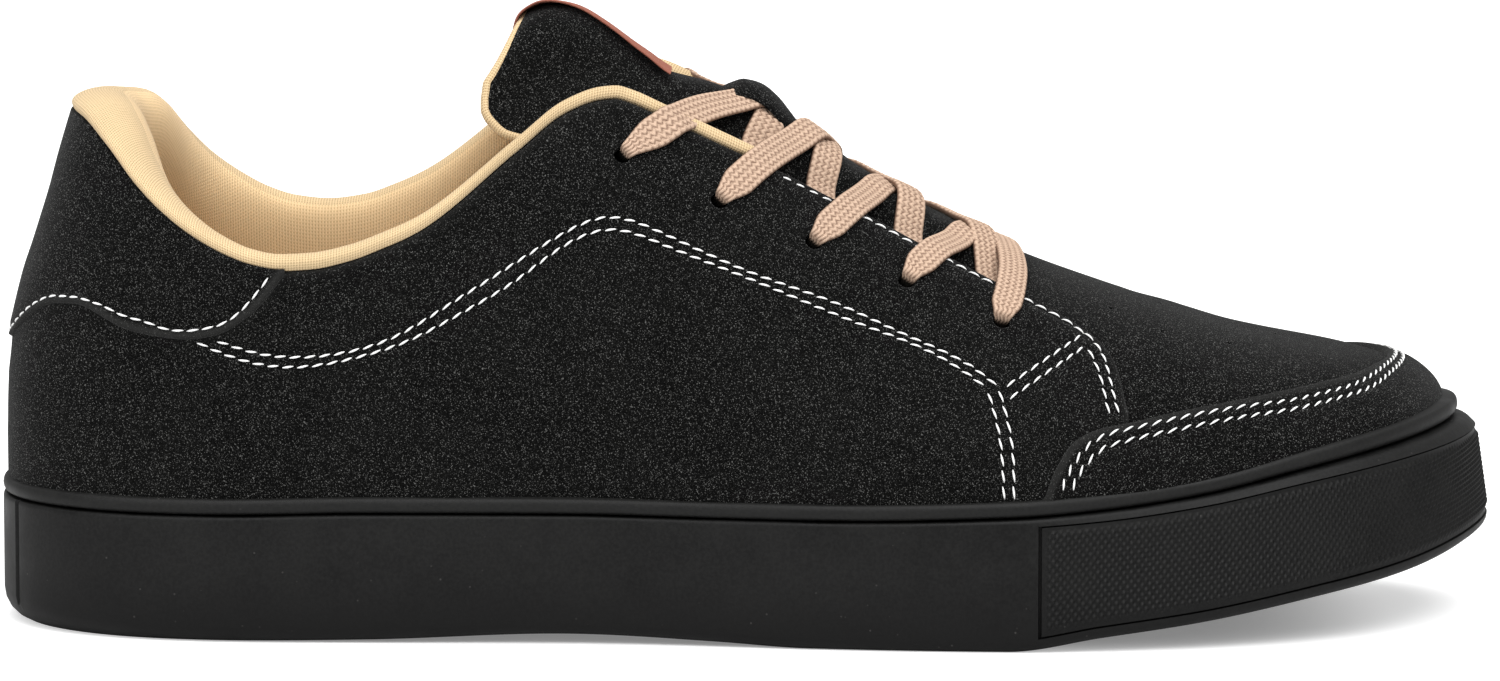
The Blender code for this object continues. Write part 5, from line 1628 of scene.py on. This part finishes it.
# %% Tongue label
LABEL = table(
    "x height tilt",
    (134.6, 110.0, 0.1), (133.0, 111.1, 0.2), (130.9, 112.9, 0.4), (128.2, 115.0, 0.6), (125.6, 117.1, 0.8),
    (122.9, 119.2, 0.9), (120.2, 121.1, 1.0), (116.6, 123.2, 1.2), (113.4, 124.3, 1.7), (110.6, 124.7, 2.1),
    (108.6, 124.5, 2.1), (106.4, 123.5, 1.7), (104.3, 121.6, 1.1), (103.4, 118.8, 0.7),
)
LABEL_HALF = 8.5
LABEL_THICK = 0.55
LABEL_CROWN = 0.2
LABEL_CUT = 0.4
LABEL_CREASE = np.radians(60)


def add_label():
    """A thin strip carried along the side-view line of its outer edge, tilted down to its inner edge."""
    line = curve(np.stack(list(LABEL.values()), axis=1), 0.6)
    along = unit(np.gradient(line[:, :2], axis=0))
    up = np.stack([along[:, 1], 0 * along[:, 0], -along[:, 0]], axis=1)
    shares = np.sin(np.linspace(-np.pi / 2, np.pi / 2, 21))
    middle = np.stack([line[:, 0], read(SPINE, "across", line[:, 0]), line[:, 1] - LABEL_THICK / 2], axis=1)
    half = LABEL_THICK / 2 * np.sqrt(np.maximum(1 - np.abs(shares) ** 14, 0))
    across = np.array([0.0, 1.0, 0.0]) * (shares * LABEL_HALF)[None, :, None]
    down = LABEL_CROWN * (1 - shares ** 2)[None] - line[:, 2:] * (shares + 1)[None] / 2
    bent = middle[:, None] + across + up[:, None] * down[..., None]
    top = bent + up[:, None] * half[None, :, None]
    under = bent - up[:, None] * half[None, :, None]
    grid = np.concatenate([top, under[:, -2:0:-1]], axis=1)
    edge = np.concatenate([np.abs(shares), np.abs(shares[-2:0:-1])])[None] + np.zeros((len(line), 1))
    piece = add_sweep(
        "tongue_tab", grid, [LEATHER], "label_leather", replaces=["tongue_label"],
        raw=LABEL_CUT * ease(0.9, 1.0, edge))
    piece.data.set_sharp_from_angle(angle=LABEL_CREASE)


add_label()

# %% [markdown]
# The lace is a flat braid of five ribs. Each strand comes up out of its eyelet, pinched, spreads over the
# quarter, crosses the tongue, dives under the other quarter's edge and ends at that side's next eyelet. Its
# ribs and their slanting stitches are part of the mesh, with painted shade in the grooves between the beads.
# Where it goes down into a hole it is marked as sunk, and the finish paints it dark as the hole's shade.

# %% Lace
LACE_WIDTHS = (7.1, 6.7, 6.5, 6.4, 6.2)
LACE_THICK = 1.35
PINCH_WIDTH = 2.6
PINCH_THICK = 2.2
RIBS = 5
RIB_POINTS = 6
BRAID_PITCH = 1.4
BRAID_STEP = 0.22
BEAD = 0.30
ON_QUARTER = 1.75
ON_BINDING = 1.0
UNDER_QUARTER = -2.8
LACE_PRESS = 0.35
WAY_STEP = 0.5
OUT_OF_EYELET = 0.6
RISE = (0.0, 1.5)
# The lace's ends are painted dark, the shade inside the eyelet holes, fading out between these runs from the
# end.
SUNK_SHADE_RUN = (2.6, 4.9)
SPREAD_FROM = 1.5
SPREAD_TO = (12.0, 9.5, 9.5, 9.5, 8.0)
THICK_EASES = (1.0, 7.0)
SAG = 0.8
UNDER_SAG = 0.4
CROSSING = 4.5
CROSSING_REACH = 5.0
CROSSING_LIFT = 1.1
BINDING_REACH = 2.5
FAR_DOWN = -9.0
LEVEL_BLUR = 1.6
OUTER_OVER = (0.6, 1.0, 0.0, 0.0)
INNER_OVER = (0.0, 0.0, 1.0, 1.0)
BAR = table(
    "share x level",
    (-1.0, 199.9, 1.75), (-0.75, 201.6, 1.75), (-0.5, 202.3, 1.4), (0.0, 201.5, 0.85), (0.5, 199.8, 1.4),
    (0.75, 199.7, 1.75), (1.0, 199.9, 1.75),
)
# Each strand's way: x along the shoe, and 1 at its own eyelet, 0 on the crown, -1 at the far quarter's edge.
OUTER_WAYS = (
    ((125.3, 1.0), (133.8, 0.72), (144.0, 0.33), (149.0, 0.14), (153.0, -0.2), (152.8, -0.6), (151.8, -1.0)),
    ((144.2, 1.0), (150.0, 0.74), (155.2, 0.48), (162.6, 0.03), (165.4, -0.4), (165.4, -1.0)),
    ((162.7, 1.0), (168.0, 0.72), (172.0, 0.49), (176.8, 0.1), (180.6, -0.4), (182.3, -1.0)),
    ((181.2, 1.0), (185.7, 0.74), (189.4, 0.53), (194.6, 0.08), (197.0, -0.4), (197.8, -1.0)),
)
INNER_WAYS = (
    ((125.3, 1.0), (132.0, 0.66), (138.5, 0.4), (144.0, 0.22), (149.5, 0.1), (153.6, -0.2), (153.2, -0.6),
     (151.8, -1.0)),
    ((144.2, 1.0), (153.0, 0.5), (159.0, 0.2), (163.6, 0.02), (165.2, -0.4), (165.4, -1.0)),
    ((162.7, 1.0), (165.5, 0.6), (169.2, 0.3), (174.5, 0.13), (179.8, -0.1), (182.4, -0.5), (183.0, -1.0)),
    ((181.2, 1.0), (182.8, 0.6), (185.5, 0.3), (190.3, 0.14), (194.8, -0.1), (198.2, -0.5), (200.0, -1.0)),
)


def throat_arc(x, side):
    """Distance from the crown line to a quarter's edge at every x."""
    column = "outer" if side < 0 else "inner"
    return np.abs(arc_down(x, np.full(len(x), side), read(TOPLINE, column, x)))


def eyelet_arc(k, side):
    """Distance from the crown line to an eyelet."""
    return np.abs(arc_down(LACING["eyelet"][k:k + 1], np.array([side]), LACING["height"][k:k + 1]))[0]


def blurred(values, reach_mm):
    """Running mean of values on the way, weighted by a bell."""
    count = int(3 * reach_mm / WAY_STEP)
    bell = np.exp(-(np.arange(-count, count + 1) * WAY_STEP / reach_mm) ** 2)
    return np.convolve(np.pad(values, count, mode="edge"), bell / bell.sum(), mode="valid")


def strand_way(k, side, way, over):
    """Places x, arc and level of a strand: up out of its eyelet, over the quarter's edge, on the tongue, and
    down between tongue and far quarter. Arcs are positive on the strand's own side."""
    x, share = np.array(way).T
    own = eyelet_arc(k, side)
    arc = np.where(share > 0, share * own, share * throat_arc(x, -side))
    goal = LACING["eyelet"][k + 1]
    beyond = [(0.55 * x[-1] + 0.45 * goal, arc[-1] - 4.0), (goal, -eyelet_arc(k + 1, -side))]
    rows = np.concatenate([np.stack([x, arc], axis=1), beyond])
    rows[0] += OUT_OF_EYELET * unit(rows[1] - rows[0])
    line = curve(rows, WAY_STEP)
    x, arc = line.T
    run = run_length(line)
    edge = throat_arc(x, side)
    far_edge = throat_arc(x, -side)
    tongue = tongue_out(x, side * arc) + LACE_THICK / 2 - LACE_PRESS
    bound = (1 - ease(COLLAR_END - 2, COLLAR_END + 2, x)) * np.exp(-((arc - edge) / BINDING_REACH) ** 2)
    quarter = ON_QUARTER + ON_BINDING * bound
    crown = np.interp(0.0, -arc, tongue)
    way_out = np.clip(arc / edge, 0, 1)
    sag = SAG + UNDER_SAG * (1 - over)
    bridge = crown + (ON_QUARTER - crown) * way_out - 4 * sag * way_out * (1 - way_out)
    level = np.where(arc > edge, quarter, np.maximum(tongue, np.where(arc > 0, bridge, FAR_DOWN)))
    level = np.maximum(level, UNDER_QUARTER)
    level = np.where(arc < -far_edge, UNDER_QUARTER, level)
    lift = CROSSING_LIFT * LACE_THICK * np.exp(-((side * arc + CROSSING) / CROSSING_REACH) ** 2)
    level = blurred(level, LEVEL_BLUR) + over * lift
    level = UNDER_QUARTER + (level - UNDER_QUARTER) * ease(*RISE, run)
    return x, side * arc, level


def ribbon(points, normals, width, thick):
    """Braid along a path: five ribs with zigzag sides, each a row of slanting beads, on a flat strip with
    round edges. Also gives painted shade: dark in the grooves between the beads, a little on the underside."""
    run = run_length(points)[:, None]
    along = unit(np.gradient(points, axis=0))
    side = unit(np.cross(along, normals))[:, None]
    up = np.cross(side[:, 0], along)[:, None]
    across = np.linspace(-1, 1, RIBS * RIB_POINTS + 1)[None]
    zigzag = (triangle_wave(run / BRAID_PITCH) - 0.5) * (1 - across ** 8)
    rib = (across + 1) / 2 * RIBS + 0.6 * zigzag
    inside = rib - np.floor(rib)
    slant = np.where(np.floor(rib) % 2 == 0, 0.5, -0.5)
    stitch = np.abs(np.sin(np.pi * (run / BRAID_PITCH + slant * (inside - 0.5)))) ** 0.6
    bead = np.abs(np.sin(np.pi * inside)) ** 0.7 * (0.4 + 0.6 * stitch)
    flat = np.sqrt(np.maximum(1 - np.abs(across) ** 6, 0.0))
    wide = width[:, None] / 2
    deep = thick[:, None] / 2
    top_up = flat * (deep - 0.12 + BEAD * bead)
    top = points[:, None] + side * (across * wide)[..., None] + up * top_up[..., None]
    back = np.linspace(1, -1, 9)[None, 1:-1]
    back_up = -np.sqrt(1 - np.abs(back) ** 6) * deep
    under = points[:, None] + side * (back * wide)[..., None] + up * back_up[..., None]
    # Painted shade: darker in the grooves between the beads, and a little on the underside.
    groove = np.concatenate([(1 - bead) ** 1.3, np.full(under.shape[:2], 0.3)], axis=1)
    return np.concatenate([top, under], axis=1), groove


def braided(x, arc, level, k, both_ends):
    """The braid on a way given by x, arc and level, pinched where it comes out of an eyelet."""
    points, normals = on_last(x, np.where(np.abs(arc) < 0.02, 0.02, arc))
    path = points + normals * level[:, None]
    track = curve(path, BRAID_STEP)
    run = run_length(path)
    where = np.linspace(0, run[-1], len(track))
    facing = unit(resampled(run, normals, where))
    from_end = np.minimum(where, run[-1] - where) if both_ends else where
    width = PINCH_WIDTH + (LACE_WIDTHS[k] - PINCH_WIDTH) * ease(SPREAD_FROM, SPREAD_TO[k], from_end)
    thick = PINCH_THICK + (LACE_THICK - PINCH_THICK) * ease(*THICK_EASES, from_end)
    braid, groove = ribbon(track, facing, width, thick)
    # The third value is the painted shade of the hole at the strand's ends.
    return braid, groove, (1 - ease(*SUNK_SHADE_RUN, from_end))[:, None] + 0 * groove


def add_braids(name, braids, node_name):
    """Several braids as one piece."""
    points = np.concatenate([braid.reshape(-1, 3) for braid, groove, sunk in braids])
    # Painted shade of the braid's grooves.
    groove_shades = np.concatenate([groove.ravel() for braid, groove, sunk in braids])
    # Painted shade of the holes at the strands' ends.
    hole_shades = np.concatenate([sunk.ravel() for braid, groove, sunk in braids])
    faces = []
    start = 0
    for braid, groove, sunk in braids:
        columns, rows = groove.shape
        faces += (quads(columns, rows, False, True) + start).tolist()
        faces.append(list(range(start, start + rows)))
        faces.append(list(range(start + (columns - 1) * rows, start + columns * rows))[::-1])
        start += columns * rows
    return add_piece(name, points, faces, [BRAID], "braid", [node_name], raw=groove_shades, sunk=hole_shades)


def add_lace():
    """Four crossings, the upper strand on top of the lower one, and the bar at the front."""
    for k in range(4):
        outer = braided(*strand_way(k, -1.0, OUTER_WAYS[k], OUTER_OVER[k]), k, False)
        inner = braided(*strand_way(k, 1.0, INNER_WAYS[k], INNER_OVER[k]), k, False)
        add_braids(f"lace_strands_{k + 1}", [outer, inner], f"lace_crossing_{k + 1}")
    share = np.linspace(-1, 1, 120)
    way = np.where(share < 0, eyelet_arc(4, -1.0), eyelet_arc(4, 1.0)) - OUT_OF_EYELET
    arc = share * way
    run = (1 - np.abs(share)) * way
    x, level = [smooth(BAR["share"], BAR[column], share) for column in ("x", "level")]
    level = UNDER_QUARTER + (level - UNDER_QUARTER) * ease(*RISE, run)
    bar = braided(x, arc, level, 4, True)
    add_braids("lace_bar_braid", [bar], "lace_bar")


add_lace()

# %% [markdown]
# The floor is plain and pale, like a sheet of paper lit from below, so that shadows on it stay faint. The glow
# fades in an oval under the shoe: a painted shadow there. A broad soft light from above models the shoe, and
# pale surroundings fill the shadows.

# %% Floor and light
FLOOR_HALF = 6.0
FLOOR_GLOW = 0.52
# The painted shadow under the shoe: the glow left in it, and the oval's half length and half width in metres.
PAINTED_SHADOW_GLOW = 0.42
PAINTED_SHADOW_HALVES = {"X": 0.132, "Y": 0.056}
WORLD_LIGHT = 0.5


def add_floor():
    """A wide flat floor with a matt near-white finish, which glows for the camera alone. The glow falls off
    inside an oval under the shoe, where (x/a)^4 + (y/b)^4 is below one, as a painted shadow."""
    mesh = bpy.data.meshes.new("floor")
    corners = FLOOR_HALF * np.array([(-1, -1, 0), (1, -1, 0), (1, 1, 0), (-1, 1, 0)])
    mesh.from_pydata(corners.tolist(), [], [(0, 1, 2, 3)])
    made, tree, shader, place = material("floor_paper", 0.9, 0.1)
    shade = step_up(tree, noise(tree, place, 3.0), 0.3, 0.7, 0.80, 0.82)
    tree.links.new(grey(tree, shade), shader.inputs["Base Color"])
    parts = node(tree, "SeparateXYZ", Vector=place).outputs
    shares = [sums(tree, "DIVIDE", parts[axis], half) for axis, half in PAINTED_SHADOW_HALVES.items()]
    along, across = [sums(tree, "POWER", sums(tree, "ABSOLUTE", share), 4.0) for share in shares]
    # Painted shadow: inside the oval under the shoe the glow is turned down.
    clear = step_up(tree, sums(tree, "ADD", along, across), 0.2, 1.0, PAINTED_SHADOW_GLOW, 1.0)
    seen = sums(tree, "MULTIPLY", node(tree, "LightPath").outputs["Is Camera Ray"], clear)
    shader.inputs["Emission Color"].default_value = (1.0, 1.0, 1.0, 1.0)
    tree.links.new(sums(tree, "MULTIPLY", seen, FLOOR_GLOW), shader.inputs["Emission Strength"])
    mesh.materials.append(made)
    floor = bpy.data.objects.new("floor", mesh)
    bpy.context.scene.collection.objects.link(floor)


def add_light(name, kind, place, aim, power, size):
    """A light at a place in metres, turned to an aim."""
    data = bpy.data.lights.new(name, kind)
    data.energy = power
    if kind == "AREA":
        data.shape = "RECTANGLE"
        data.size, data.size_y = size
    else:
        data.angle = size
    made = bpy.data.objects.new(name, data)
    made.location = place
    away = np.array(aim, float) - np.array(place, float)
    flat = np.hypot(away[0], away[1])
    tilt, turn = np.arctan2(away[2], flat), np.arctan2(away[1], away[0])
    made.rotation_euler = (np.pi / 2 + tilt, 0.0, turn - np.pi / 2)
    bpy.context.scene.collection.objects.link(made)


def add_world(strength):
    """White surroundings."""
    world = bpy.data.worlds.new("studio")
    world.use_nodes = True
    ground = world.node_tree.nodes["Background"]
    ground.inputs["Color"].default_value = (1.0, 1.0, 1.0, 1.0)
    ground.inputs["Strength"].default_value = strength
    bpy.context.scene.world = world


add_floor()
add_world(WORLD_LIGHT)
add_light("top_light", "SUN", (0.1, -0.5, 2.0), (0, 0, 0), 2.3, np.radians(70))
add_light("left_light", "AREA", (-1.0, -1.2, 0.9), (0, 0, 0.05), 7.0, (1.0, 0.9))
add_light("right_light", "AREA", (0.6, -1.2, 1.3), (0, 0, 0.05), 10.0, (1.0, 0.9))
bpy.context.scene.view_settings.view_transform = "Standard"
print("lights ready")

# %% [markdown]
# The camera looks at the shoe's outer side from a little above, with a long lens, as the photograph does.

# %% Camera
CAMERA_UP = np.radians(7.0)
CAMERA_FAR = 1.6
CAMERA_LENS = 190.6
CAMERA_AIM = (np.array([150.5, 0.0, 55.0]) - CENTRE) * MM


def add_camera():
    """A camera outside the little toe, raised by a small angle and aimed at the shoe's middle."""
    data = bpy.data.cameras.new("camera")
    data.sensor_width = 36.0
    data.lens = CAMERA_LENS
    made = bpy.data.objects.new("camera", data)
    made.location = CAMERA_AIM + CAMERA_FAR * np.array([0.0, -np.cos(CAMERA_UP), np.sin(CAMERA_UP)])
    made.rotation_euler = (np.pi / 2 - CAMERA_UP, 0.0, 0.0)
    bpy.context.scene.collection.objects.link(made)
    bpy.context.scene.camera = made


add_camera()
print("camera at", tuple(bpy.context.scene.camera.location))
